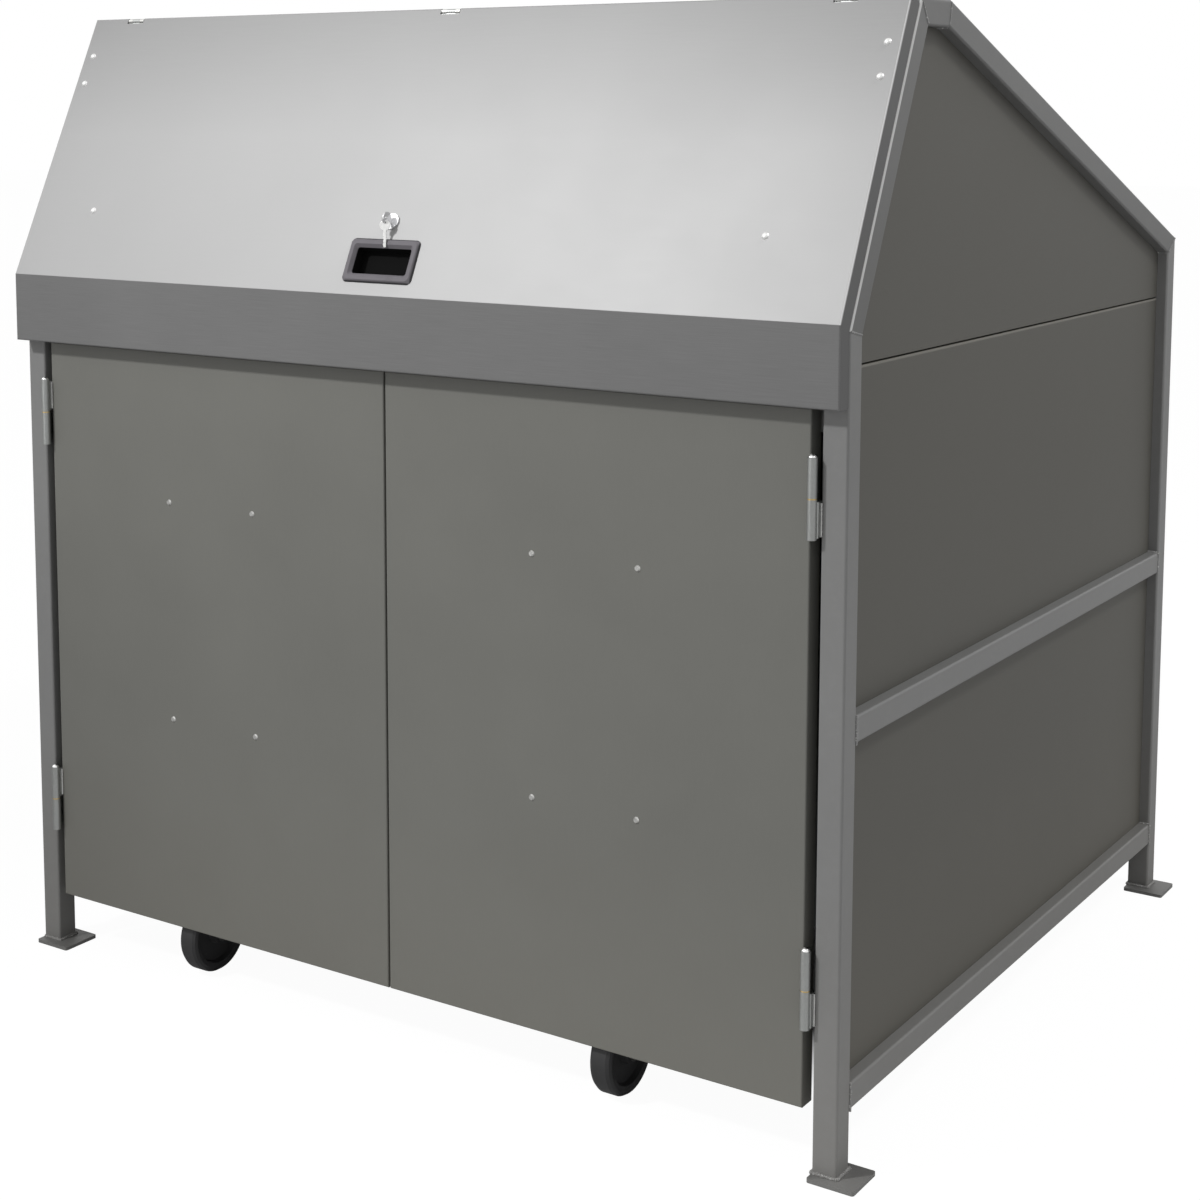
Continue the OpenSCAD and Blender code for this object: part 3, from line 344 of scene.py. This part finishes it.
def brushed_sheet():
    """The flap's satin sheet: fine grain along the width, soft clouds, and painted light: a
    lighter slope face than the lip, painted shade on the top of the slope and on the sides, and
    painted highlights on the bends.
    """
    # The lip's colour and the slope's lighter colour as painted light, the darker top and sides
    # as painted shade, and a bend colour as painted highlight
    lip, slope, upper, side = (0.155,) * 3, (0.4,) * 3, (0.27,) * 3, (0.105,) * 3
    bright_grain, dark_cloud, bend_highlight = (0.5,) * 3, (0.3,) * 3, (0.8,) * 3
    f = Finish("satin_flap_sheet")
    grain = f.noise(14.0, 4.0, 0.6, f.stretched((1.0, 60.0, 60.0)))
    cloud = f.noise(4.5, 3.0, 0.5)
    # Painted light: faces that look up are lighter than the lip of the same sheet
    up = f.ramp(f.facing("Z"), (0.15, 0), (0.35, 1))
    base = f.between(up, lip, slope)
    # Painted shade: the top of the slope darker than its middle
    top_shade_mask = f.ramp((f.along("Z") - 1.48) * 4.6, (0.0, 0.0), (1.0, 0.8))
    base = f.over(top_shade_mask, base, upper)
    base = f.over(f.ramp(grain, (0.35, 0.0), (0.8, 0.09)), base, bright_grain)
    base = f.over(f.ramp(cloud, (0.4, 0.0), (0.8, 0.1)), base, dark_cloud)
    sideways = f.facing("X").size()
    # Painted shade: the sideways returns darker
    base = f.over(f.ramp(sideways, (0.93, 0), (0.99, 1)), base, side)
    # Painted highlight: a lighter line on the bends between the face and the returns
    bend = f.ramp(sideways, (0.12, 0), (0.3, 0.8), (0.8, 0.8), (0.95, 0))
    base = f.over(bend * up, base, bend_highlight)
    f.shade(Base_Color=base, Metallic=0.05,
            Roughness=(0.47 + (grain - 0.5) * 0.08 + (cloud - 0.5) * 0.06).clamp(),
            Normal=f.bump(grain, 0.00002, 0.5))
    return f.material


PANEL_GREEN = (0.098, 0.095, 0.083)
# Directions in which the paint's streaks are fine: along the panels, across the doors
PANEL_GRAIN = (1, 0.6, 14)
DOOR_GRAIN = (14, 1, 0.6)

paint_frame = powder_coat("frame_paint", (0.225, 0.225, 0.223), 0.42)
# The front rakers carry the frame's paint, given darker here as painted shade, with a painted
# highlight on their front edge
paint_raker_shaded_highlit = powder_coat("raker_paint_shaded_highlit", (0.15, 0.15, 0.148), 0.42, edge=0.006)
# The apex tubes and rear rakers carry the frame's paint, given darker here as painted shade
paint_roof_tube_shaded = powder_coat("roof_tube_paint_shaded", (0.15, 0.15, 0.148), 0.42)
paint_foot = powder_coat("foot_paint", (0.18, 0.18, 0.178), 0.46, dirt=0.2)
paint_panel = powder_coat("panel_paint", PANEL_GREEN, 0.55, PANEL_GRAIN)
# The middle panels' paint, with a painted highlight along the bend at their top edge
paint_panel_fold_highlight = powder_coat("panel_paint_fold_highlight", PANEL_GREEN, 0.55, PANEL_GRAIN,
                           fold=SEAM_Z / 1000)
paint_door = powder_coat("door_paint", (0.165, 0.165, 0.150), 0.5, DOOR_GRAIN)
paint_gloss_black = powder_coat("gloss_black_paint", (0.018, 0.018, 0.018), 0.22, dirt=0.1)
zinc = plated("zinc_plate", (0.66, 0.66, 0.64), 0.34)
# The knuckles and flap hinge leaves carry the same zinc plate, given darker here as painted
# shade
zinc_shaded = plated("zinc_knuckle_shaded", (0.43, 0.44, 0.43), 0.4, spots=0.2)
zinc_dark = plated("weathered_zinc", (0.2, 0.2, 0.195), 0.5, spots=0.4)
bright_cap = plated("bright_cap", (0.85, 0.85, 0.84), 0.18, spots=0.1)
chrome = plated("chrome_lock", (0.78, 0.78, 0.79), 0.16, spots=0.15)
brass = plated("brass_washer", (0.75, 0.55, 0.24), 0.3)
nickel = plated("nickel_key", (0.86, 0.86, 0.85), 0.42, spots=0.1, metallic=0.55)
weld_metal = plated("weld_bead", (0.58, 0.58, 0.57), 0.3, spots=0.6, metallic=0.8)
# The welds carry the frame's paint, given lighter here as a painted highlight, with painted
# glints on their spatter
weld_paint_highlit = powder_coat("painted_weld_highlit", (0.27, 0.27, 0.268), 0.36, spatter_glints=True)
handle_plastic = pocket_plastic()
buffer_rubber = moulded("buffer_rubber", (0.02, 0.02, 0.02), 0.75)
tyre_rubber = moulded("wheel_rubber", (0.024, 0.024, 0.025), 0.62, grain=300.0)
tub_plastic = moulded("tub_plastic", (0.055, 0.062, 0.066), 0.5, grain=420.0)
sheet_flap = brushed_sheet()

FINISHES = {
    paint_raker_shaded_highlit: ["front_rakers"],
    paint_roof_tube_shaded: ["apex_tubes", "rear_rakers"],
    paint_foot: ["foot_plates"],
    paint_frame: ["front_uprights", "rear_uprights", "mid_rails", "bottom_rails",
                  "apex_crossbeam", "front_header", "rear_crossbeams", "lock_strikes"],
    paint_panel_fold_highlight: ["left_middle_panel", "right_middle_panel"],
    paint_panel: ["left_lower_panel", "left_gable_panel", "right_lower_panel",
                  "right_gable_panel", "rear_lower_panel", "rear_upper_panel", "roof_panel"],
    paint_door: ["left_door", "right_door", "left_door_stiffeners", "right_door_stiffeners"],
    sheet_flap: ["flap_shell"],
    handle_plastic: ["flap_handle"],
    nickel: ["flap_bolts"],
    zinc: ["flap_hinge_frame_leaves", "left_lock_rod", "right_lock_rod", "lock_rod_guides",
           "strut_brackets", "strut_studs", "left_door_screws", "right_door_screws"],
    zinc_shaded: ["flap_hinge_flap_leaves", "left_door_knuckles", "right_door_knuckles",
                "frame_knuckles"],
    bright_cap: ["door_hinge_pins"],
    zinc_dark: ["bin_base_bars", "left_castor_fork", "right_castor_fork", "rear_castor_forks"],
    chrome: ["lock_body", "lock_rotor", "lock_key", "left_strut_rod", "right_strut_rod"],
    brass: ["door_hinge_washers"],
    buffer_rubber: ["flap_buffers"],
    paint_gloss_black: ["left_strut_cylinder", "right_strut_cylinder"],
    tub_plastic: ["bin_tub"],
    tyre_rubber: ["left_castor_wheel", "right_castor_wheel", "left_rear_wheel",
                  "right_rear_wheel"],
}
for finish, names in FINISHES.items():
    for name in names:
        slots = nodes[name].material_slots
        if slots:
            for material_slot in slots:
                material_slot.material = finish
        else:
            nodes[name].data.materials.append(finish)


# Repeated trim by geometry nodes
class Tree:
    """A geometry node tree with named inputs, built step by step."""

    def __init__(self, name, **inputs):
        self.group = bpy.data.node_groups.new(name, "GeometryNodeTree")
        face = self.group.interface
        face.new_socket(name="Geometry", in_out="INPUT", socket_type="NodeSocketGeometry")
        face.new_socket(name="Geometry", in_out="OUTPUT", socket_type="NodeSocketGeometry")
        self.ids = {}
        kinds = {float: "NodeSocketFloat", int: "NodeSocketInt"}
        for label, value in inputs.items():
            kind = kinds.get(type(value), "NodeSocketMaterial")
            socket = face.new_socket(name=label, in_out="INPUT", socket_type=kind)
            if type(value) in kinds:
                socket.default_value = value
            self.ids[label] = socket.identifier
        self.entry = self.group.nodes.new("NodeGroupInput")
        self.exit = self.group.nodes.new("NodeGroupOutput")

    def add(self, kind, settings=None, **inputs):
        made = self.group.nodes.new(kind)
        for name, value in (settings or {}).items():
            setattr(made, name, value)
        for name, value in inputs.items():
            target = made.inputs[name.replace("_", " ")]
            if isinstance(value, bpy.types.NodeSocket):
                self.group.links.new(value, target)
            else:
                target.default_value = value
        return made.outputs[0]

    def value(self, label):
        return self.entry.outputs[label]

    def finish(self, geometry, material):
        real = self.add("GeometryNodeRealizeInstances", Geometry=geometry)
        painted = self.add("GeometryNodeSetMaterial", Geometry=real, Material=material)
        self.group.links.new(painted, self.exit.inputs[0])
        return self


def weld_tree():
    """Overlapping flattened drops along every line of the input mesh."""
    t = Tree("weld_seam", Radius=0.002, Step=0.0012, Seed=3, Finish=None)
    curve = t.add("GeometryNodeMeshToCurve", Mesh=t.entry.outputs[0])
    points = t.add("GeometryNodeResampleCurve", {"mode": "LENGTH"}, Curve=curve,
                   Length=t.value("Step"))
    tangent = t.add("GeometryNodeInputTangent")
    turn = t.add("FunctionNodeAlignRotationToVector", {"axis": "X"}, Vector=tangent)
    jitter = t.add("FunctionNodeRandomValue", {"data_type": "FLOAT_VECTOR"},
                   Min=(0.5, 0.85, 0.8), Max=(0.75, 1.15, 1.05), Seed=t.value("Seed"))
    scaled = t.add("ShaderNodeVectorMath", {"operation": "SCALE"}, Vector=jitter,
                   Scale=t.value("Radius"))
    drop = t.add("GeometryNodeMeshIcoSphere", Radius=1.0, Subdivisions=2)
    soft = t.add("GeometryNodeSetShadeSmooth", Geometry=drop)
    drops = t.add("GeometryNodeInstanceOnPoints", Points=points, Instance=soft, Rotation=turn,
                  Scale=scaled)
    return t.finish(drops, t.value("Finish"))


def head_tree():
    """Domed rivet or screw heads on every vertex, facing along the vertex normal."""
    t = Tree("domed_heads", Radius=0.004, Height=0.0016, Finish=None)
    dome = t.add("GeometryNodeMeshUVSphere", Segments=20, Rings=8, Radius=1.0)
    soft = t.add("GeometryNodeSetShadeSmooth", Geometry=dome)
    normal = t.add("GeometryNodeInputNormal")
    turn = t.add("FunctionNodeAlignRotationToVector", {"axis": "Z"}, Vector=normal)
    size = t.add("ShaderNodeCombineXYZ", X=t.value("Radius"), Y=t.value("Radius"),
                 Z=t.value("Height"))
    heads = t.add("GeometryNodeInstanceOnPoints", Points=t.entry.outputs[0], Instance=soft,
                  Rotation=turn, Scale=size)
    return t.finish(heads, t.value("Finish"))


def run_tree(tree, name, mesh, body, slot, **values):
    """Runs a tree on a mesh and keeps the result as one plain piece on a body."""
    carrier = bpy.data.objects.new(name + "_paths", mesh)
    scene.collection.objects.link(carrier)
    modifier = carrier.modifiers.new("trim", "NODES")
    modifier.node_group = tree.group
    for label, value in values.items():
        modifier[tree.ids[label]] = value
    depsgraph = bpy.context.evaluated_depsgraph_get()
    made = bpy.data.meshes.new_from_object(carrier.evaluated_get(depsgraph))
    made.name = name
    carrier.modifiers.clear()
    bpy.data.objects.remove(carrier)
    piece = bpy.data.objects.new(name, made)
    scene.collection.objects.link(piece)
    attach(piece, body)


def lines_mesh(name, lines):
    """A mesh of edges from lists of points."""
    points, edges = [], []
    for line in lines:
        first = len(points)
        points += [tuple(p) for p in line]
        edges += [(first + i, first + i + 1) for i in range(len(line) - 1)]
    mesh = bpy.data.meshes.new(name)
    mesh.from_pydata(points, edges, [])
    return mesh


def dots_mesh(name, dots):
    """A mesh of loose tiny triangles, one at each point, whose normals face outwards."""
    points, faces = [], []
    tiny = 1e-6
    third = math.tau / 3
    for place, outward in dots:
        outward = Vector(outward).normalized()
        side = outward.orthogonal().normalized()
        other = outward.cross(side)
        first = len(points)
        for turn in (0, third, 2 * third):
            corner = math.cos(turn) * side + math.sin(turn) * other
            points.append(tuple(Vector(place) + tiny * corner))
        faces.append((first, first + 1, first + 2))
    mesh = bpy.data.meshes.new(name)
    mesh.from_pydata(points, [], faces)
    return mesh


# How far inside the left side frame's outer face the middle of a seam stays, because the
# feet don't reach past that face and the model's box ends there
LEFT_INSET = 3.0


def both(points):
    """The same line on the right and on the left."""
    left_end = LEFT_INSET - HALF_W
    return [[at(x, y, z) for x, y, z in points],
            [at(max(-x, left_end), y, z) for x, y, z in points]]


# Weld seams of the frame
INNER = HALF_W - TUBE


def square_loop(x, y, z, plane):
    """A closed square round a tube's end; plane names the axis that it faces along."""
    (x0, x1), (y0, y1), (z0, z1) = x, y, z
    if plane == "x":
        return [(x0, y0, z0), (x0, y1, z0), (x0, y1, z1), (x0, y0, z1), (x0, y0, z0)]
    if plane == "y":
        return [(x0, y0, z0), (x1, y0, z0), (x1, y0, z1), (x0, y0, z1), (x0, y0, z0)]
    return [(x0, y0, z0), (x1, y0, z0), (x1, y1, z0), (x0, y1, z0), (x0, y0, z0)]


def mitre_lines():
    """Seams across the mitred corners of the side frames, on all four faces."""
    inner_z = KNEE[1] - TUBE * math.tan((math.pi / 2 - SLOPE) / 2)
    rear = math.atan2(APEX[1] - REAR_KNEE[1], REAR_KNEE[0] - APEX_BACK[0])
    corners = [
        (KNEE, (TUBE, inner_z)),
        (APEX, (APEX[0] + TUBE * math.tan(SLOPE / 2), APEX[1] - TUBE)),
        (APEX_BACK, (APEX_BACK[0] - TUBE * math.tan(rear / 2), APEX_BACK[1] - TUBE)),
        (REAR_KNEE, (DEPTH - TUBE, REAR_KNEE[1] - TUBE * math.tan((math.pi / 2 - rear) / 2))),
    ]
    # Share of a side seam left out at each end, its depth, and how far the others stop short
    cut, sunk, rounding = 0.08, 0.4, 4
    lines = []
    for (y0, z0), (y1, z1) in corners:
        dy, dz = cut * (y1 - y0), cut * (z1 - z0)
        for x in (HALF_W - sunk, INNER + sunk):
            lines += both([(x, y0 + dy, z0 + dz), (x, y1 - dy, z1 - dz)])
        for y, z in ((y0, z0), (y1, z1)):
            lines += both([(INNER + rounding, y, z), (HALF_W - rounding, y, z)])
    return lines


def joint_lines():
    """Seams where rails and cross beams meet the uprights and the side frames."""
    gap = 0.4
    lines = []
    for z in (BOTTOM_RAIL, MID_RAIL):
        for y in (TUBE + gap, DEPTH - TUBE - gap):
            lines += both(square_loop((INNER, HALF_W), (y, y), z, "y"))
    rear = (DEPTH - TUBE, DEPTH)
    for y, z in (((APEX[0], APEX[0] + TUBE), (APEX[1] - TUBE, APEX[1])),
                 (rear, (REAR_KNEE[1] - TUBE, REAR_KNEE[1])),
                 (rear, MID_RAIL), (rear, BOTTOM_RAIL), HEADER):
        lines += both(square_loop((INNER - gap, INNER), y, z, "x"))
    return lines


def foot_lines():
    """Seams round the uprights' feet."""
    height = (FOOT_T + 0.8,) * 2
    lines = []
    for y in ((0, TUBE), (DEPTH - TUBE, DEPTH)):
        lines += both(square_loop((INNER, HALF_W), y, height, "z"))
    return lines


def hinge_lines(side, on_door):
    """Fillets along the hinge leaves, above the washer on a door and below it on its upright."""
    door_x, upright_x, y = 752.2, 770.9, -0.6
    near, far = 7, 53
    x, ends = (door_x, (near, far)) if on_door else (upright_x, (-far, -near))
    return [[at(side * x, y, washer + end) for end in ends] for washer in WASHERS]


seams = weld_tree()
run_tree(seams, "frame_mitre_seams", lines_mesh("mitres", mitre_lines()), "enclosure",
         "frame_paint", Radius=0.0019, Step=0.0012, Finish=weld_paint_highlit)
run_tree(seams, "frame_joint_seams", lines_mesh("joints", joint_lines()), "enclosure",
         "frame_paint", Radius=0.0026, Step=0.0018, Seed=8, Finish=weld_paint_highlit)
run_tree(seams, "foot_seams", lines_mesh("feet", foot_lines()), "enclosure",
         "frame_paint", Radius=0.0036, Step=0.0024, Seed=4, Finish=weld_paint_highlit)
run_tree(seams, "upright_hinge_seams",
         lines_mesh("upright_hinges", hinge_lines(-1, False) + hinge_lines(1, False)),
         "enclosure", "zinc", Radius=0.002, Step=0.0014, Seed=5, Finish=weld_metal)
for side, label in ((-1, "left"), (1, "right")):
    run_tree(seams, label + "_door_hinge_seams",
             lines_mesh(label + "_leaves", hinge_lines(side, True)),
             label + "_door_leaf", "zinc", Radius=0.002, Step=0.0014, Seed=6, Finish=weld_metal)


# Rivets and bolts
def spaced(low, high, pitch, margin=40):
    """Places from low to high, a margin inside, about a pitch apart."""
    count = max(2, round((high - low - 2 * margin) / pitch) + 1)
    return [low + margin + i * (high - low - 2 * margin) / (count - 1) for i in range(count)]


def flange_rivets():
    """Rivet heads on the inner faces of the side and rear panels' folded edges."""
    dots = []
    pitch_up, pitch_along = 150, 200
    # A flange's inner face from its tube, and the rows' distance from the frame's outer face
    inset, row = 1.8, 29
    side_x, rear_y = HALF_W - row, DEPTH - row
    for z0, z1 in ((BOTTOM_RAIL[1], MID_RAIL[0]), (MID_RAIL[1], SEAM_Z)):
        for x in (-side_x, side_x):
            for z in spaced(z0, z1, pitch_up):
                dots.append((at(x, TUBE + inset, z), (0, 1, 0)))
                dots.append((at(x, DEPTH - TUBE - inset, z), (0, -1, 0)))
            for y in spaced(TUBE, DEPTH - TUBE, pitch_along):
                dots.append((at(x, y, z0 + inset), (0, 0, 1)))
                if z1 != SEAM_Z:
                    dots.append((at(x, y, z1 - inset), (0, 0, -1)))
    for z0, z1 in ((BOTTOM_RAIL[1], MID_RAIL[0]), (MID_RAIL[1], REAR_KNEE[1] - TUBE)):
        for z in spaced(z0, z1, pitch_up):
            dots.append((at(-INNER + inset, rear_y, z), (1, 0, 0)))
            dots.append((at(INNER - inset, rear_y, z), (-1, 0, 0)))
        for x in spaced(-INNER, INNER, pitch_along):
            dots.append((at(x, rear_y, z0 + inset), (0, 0, 1)))
            dots.append((at(x, rear_y, z1 - inset), (0, 0, -1)))
    return dots


def castor_bolts():
    """Four bolt heads under the plate of each castor."""
    half_x, half_y = 42, 31
    return [(at(x + dx, y + dy, CASTOR_PLATE_Z), (0, 0, -1)) for x in CASTOR_X
            for y in CASTOR_Y for dx in (-half_x, half_x) for dy in (-half_y, half_y)]


heads = head_tree()
run_tree(heads, "panel_rivets", dots_mesh("rivet_places", flange_rivets()), "enclosure", "zinc",
         Radius=0.004, Height=0.0018, Finish=zinc)
run_tree(heads, "castor_plate_bolts", dots_mesh("bolt_places", castor_bolts()), "enclosure",
         "zinc", Radius=0.0055, Height=0.004, Finish=zinc_dark)


# Key ring with the spare key that hangs from the key in the lock
def flat_key(bow_radius, blade_length, blade_width, thickness):
    """A key's outline with its bow, shoulders and bitting, as a thin plate with a hole."""
    half = blade_width / 2
    hole_radius = bow_radius * 0.22
    hole_up = bow_radius * 0.5
    bow_steps, hole_steps = 28, 16
    start = math.asin(half / bow_radius)
    outline = []
    for i in range(bow_steps + 1):
        turn = start + i * (math.tau - 2 * start) / bow_steps
        outline.append((bow_radius * math.sin(turn), -bow_radius * math.cos(turn)))
    # The blade's edge as shares of its length and of its half width
    edge = [(0.25, -1.0), (0.30, -1.0), (0.36, -0.6), (0.44, -0.95), (0.52, -0.5), (0.62, -0.9),
            (0.70, -0.55), (0.80, -0.95), (0.92, -0.7), (1.0, -0.3), (0.96, 1.0), (0.25, 1.0)]
    outline += [(half * across, -bow_radius - blade_length * along) for along, across in edge]
    mesh = bmesh.new()
    rim = [mesh.verts.new((x, 0, z)) for x, z in outline]
    hole = [mesh.verts.new((hole_radius * math.sin(a), 0, hole_up + hole_radius * math.cos(a)))
            for a in [i * math.tau / hole_steps for i in range(hole_steps)]]
    loops = [mesh.edges.new((ring[i], ring[(i + 1) % len(ring)])) for ring in (rim, hole)
             for i in range(len(ring))]
    bmesh.ops.triangle_fill(mesh, edges=loops, use_beauty=True)
    bmesh.ops.recalc_face_normals(mesh, faces=mesh.faces)
    solid = bmesh.ops.extrude_face_region(mesh, geom=mesh.faces[:])
    moved = [v for v in solid["geom"] if isinstance(v, bmesh.types.BMVert)]
    bmesh.ops.translate(mesh, verts=moved, vec=(0, thickness, 0))
    bmesh.ops.recalc_face_normals(mesh, faces=mesh.faces)
    bmesh.ops.translate(mesh, verts=mesh.verts, vec=(0, -thickness / 2, -hole_up))
    return mesh


def wire_ring(radius, wire, around=48, section=10):
    """A ring of round wire, upright in the XZ plane."""
    mesh = bmesh.new()
    rows = []
    for i in range(around):
        a = i * math.tau / around
        row = []
        for j in range(section):
            b = j * math.tau / section
            reach = radius + wire * math.cos(b)
            row.append(mesh.verts.new((reach * math.cos(a), wire * math.sin(b),
                                       reach * math.sin(a))))
        rows.append(row)
    for row, following in zip(rows, rows[1:] + rows[:1]):
        for j in range(section):
            k = (j + 1) % section
            mesh.faces.new((row[j], following[j], following[k], row[k]))
    bmesh.ops.recalc_face_normals(mesh, faces=mesh.faces)
    return mesh


def place_piece(name, built, where, turn, body, finish, bevel=None, smooth=False):
    """Bakes a bmesh at its place, finishes it and lets it ride on a body."""
    built.transform(Matrix.Translation(where) @ turn.to_4x4())
    mesh = bpy.data.meshes.new(name)
    built.to_mesh(mesh)
    built.free()
    mesh.polygons.foreach_set("use_smooth", [smooth] * len(mesh.polygons))
    mesh.materials.append(finish)
    piece = bpy.data.objects.new(name, mesh)
    scene.collection.objects.link(piece)
    if bevel:
        modifier = piece.modifiers.new("edge", "BEVEL")
        modifier.width = bevel
        modifier.segments = 2
        modifier.limit_method = "ANGLE"
    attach(piece, body)


# The hole in the bow of the key in the lock, outwards from the rakers' plane
KEY_HOLE_O = 50.5
hole = on_slope(0, LOCK_V, KEY_HOLE_O)
ring_drop = Vector((0, 0, -0.0044))
ring = wire_ring(radius=0.0048, wire=0.0006)
place_piece("key_ring", ring, hole + ring_drop, Matrix.Rotation(0.6, 3, "Z"),
            "lock", chrome, smooth=True)
spare = flat_key(bow_radius=0.0085, blade_length=0.027, blade_width=0.005, thickness=0.0022)
hang = Matrix.Rotation(0.45, 3, "Z") @ Matrix.Rotation(-0.15, 3, "X")
place_piece("spare_key", spare, hole + 2 * ring_drop, hang,
            "lock", nickel, bevel=0.0003)


def add_camera():
    """The camera at the photo's viewpoint."""
    # The fit to the photo, with the photo's side, the focal length and the axis in its pixels
    side, focal, axis = 1200, 2102.2, (566.1, 350)
    place = at(2060.9, -2587.7, 1522.2)
    yaw, pitch, roll = 0.5854, 0.1129, 0.0011
    forward = Vector((-math.sin(yaw) * math.cos(pitch), math.cos(yaw) * math.cos(pitch),
                      -math.sin(pitch)))
    right = Vector((math.cos(yaw), math.sin(yaw), 0))
    up = right.cross(forward)
    across = math.cos(roll) * right + math.sin(roll) * up
    upright = -math.sin(roll) * right + math.cos(roll) * up
    data = bpy.data.cameras.new("photo_camera")
    data.sensor_width = 36
    data.lens = data.sensor_width * focal / side
    data.shift_x = (side / 2 - axis[0]) / side
    data.shift_y = (axis[1] - side / 2) / side
    camera = bpy.data.objects.new("photo_camera", data)
    turn = Matrix((across, upright, -forward)).transposed().to_4x4()
    camera.matrix_world = Matrix.Translation(place) @ turn
    scene.collection.objects.link(camera)
    scene.camera = camera


def add_light(name, kind, place, target, power, **settings):
    """A lamp of one kind at a place, turned to its target."""
    data = bpy.data.lights.new(name, kind)
    data.energy = power
    for setting, value in settings.items():
        setattr(data, setting, value)
    lamp = bpy.data.objects.new(name, data)
    lamp.location = place
    lamp.rotation_euler = (Vector(target) - Vector(place)).to_track_quat("-Z", "Y").to_euler()
    scene.collection.objects.link(lamp)


def add_lamp(name, place, target, size, power):
    """A lamp with a rectangular face of the given width and height."""
    width, height = size
    add_light(name, "AREA", place, target, power, shape="RECTANGLE", size=width, size_y=height)


def add_spot(name, place, target, cone, radius, power):
    """A round lamp that shines in a soft-edged cone of the given degrees."""
    add_light(name, "SPOT", place, target, power, spot_size=math.radians(cone), spot_blend=1.0,
              shadow_soft_size=radius)


def shown_to(shading, rays, plain, white):
    """Shows the white shader to the named kinds of ray, and the plain one to all others."""
    seen = None
    for name in rays:
        ray = shading.node("ShaderNodeLightPath", {}, {}, name)
        seen = seen.top(ray) if seen else ray
    return shading.mixed(seen, plain, white)


def add_floor():
    """A floor that looks white, but keeps the dark under the object and is clear from below."""
    far = 40
    soft_edge = 0.05
    whitening = 0.9
    # The part of the floor under the object, as the middle and half of its sides
    shaded = (("X", -0.0175, 0.6), ("Y", 0.06, 0.5))
    mesh = bpy.data.meshes.new("floor")
    mesh.from_pydata([(-far, -far, 0), (far, -far, 0), (far, far, 0), (-far, far, 0)], [],
                     [(0, 1, 2, 3)])
    floor = bpy.data.objects.new("floor", mesh)
    scene.collection.objects.link(floor)
    material = bpy.data.materials.new("pale_floor")
    material.use_nodes = True
    f = Shading(material.node_tree)
    matt = f.node("ShaderNodeBsdfDiffuse", {}, {"Color": (0.8, 0.8, 0.8, 1)})
    white = f.node("ShaderNodeEmission", {}, {"Strength": 1.07})
    position = f.node("ShaderNodeNewGeometry", {}, {}, "Position")
    whitened = [f.node("ShaderNodeMapRange", {},
                       {"Value": (f.part(position, axis) - middle).size(),
                        "From Min": half - soft_edge, "From Max": half + soft_edge,
                        "To Min": 0.0, "To Max": whitening})
                for axis, middle, half in shaded]
    pale = f.mixed(whitened[0].top(whitened[1]), matt, white)
    from_above = shown_to(f, ["Is Camera Ray"], matt, pale)
    clear = f.node("ShaderNodeBsdfTransparent", {}, {})
    below = f.node("ShaderNodeNewGeometry", {}, {}, "Backfacing")
    f.end("ShaderNodeOutputMaterial", f.mixed(below, from_above, clear))
    mesh.materials.append(material)


def add_world():
    """Soft light from all round; the camera and reflections see plain white."""
    world = bpy.data.worlds.new("studio")
    scene.world = world
    world.use_nodes = True
    sky = Shading(world.node_tree)
    soft, white = [sky.node("ShaderNodeBackground", {},
                            {"Color": (1, 1, 1, 1), "Strength": strength})
                   for strength in (0.36, 1.0)]
    rays = ["Is Camera Ray", "Is Glossy Ray", "Is Transmission Ray"]
    sky.end("ShaderNodeOutputWorld", shown_to(sky, rays, soft, white))


add_camera()
add_world()
add_floor()
add_spot("key", (-2.3, -4.3, 4.6), (0.1, -0.68, 1.12), cone=36, radius=0.22, power=830)
add_lamp("side_top", (4.4, 0.6, 6.6), (0.6, 0, 0.9), size=(1.1, 1.1), power=133)
add_spot("rear_fill", (3.9, 1.3, 1.3), (0.8, 0.7, 0.62), cone=17, radius=0.25, power=24)
add_lamp("low_fill", (-1.6, -4.6, 0.9), (-0.4, 0, 0.1), size=(2.2, 0.7), power=9)
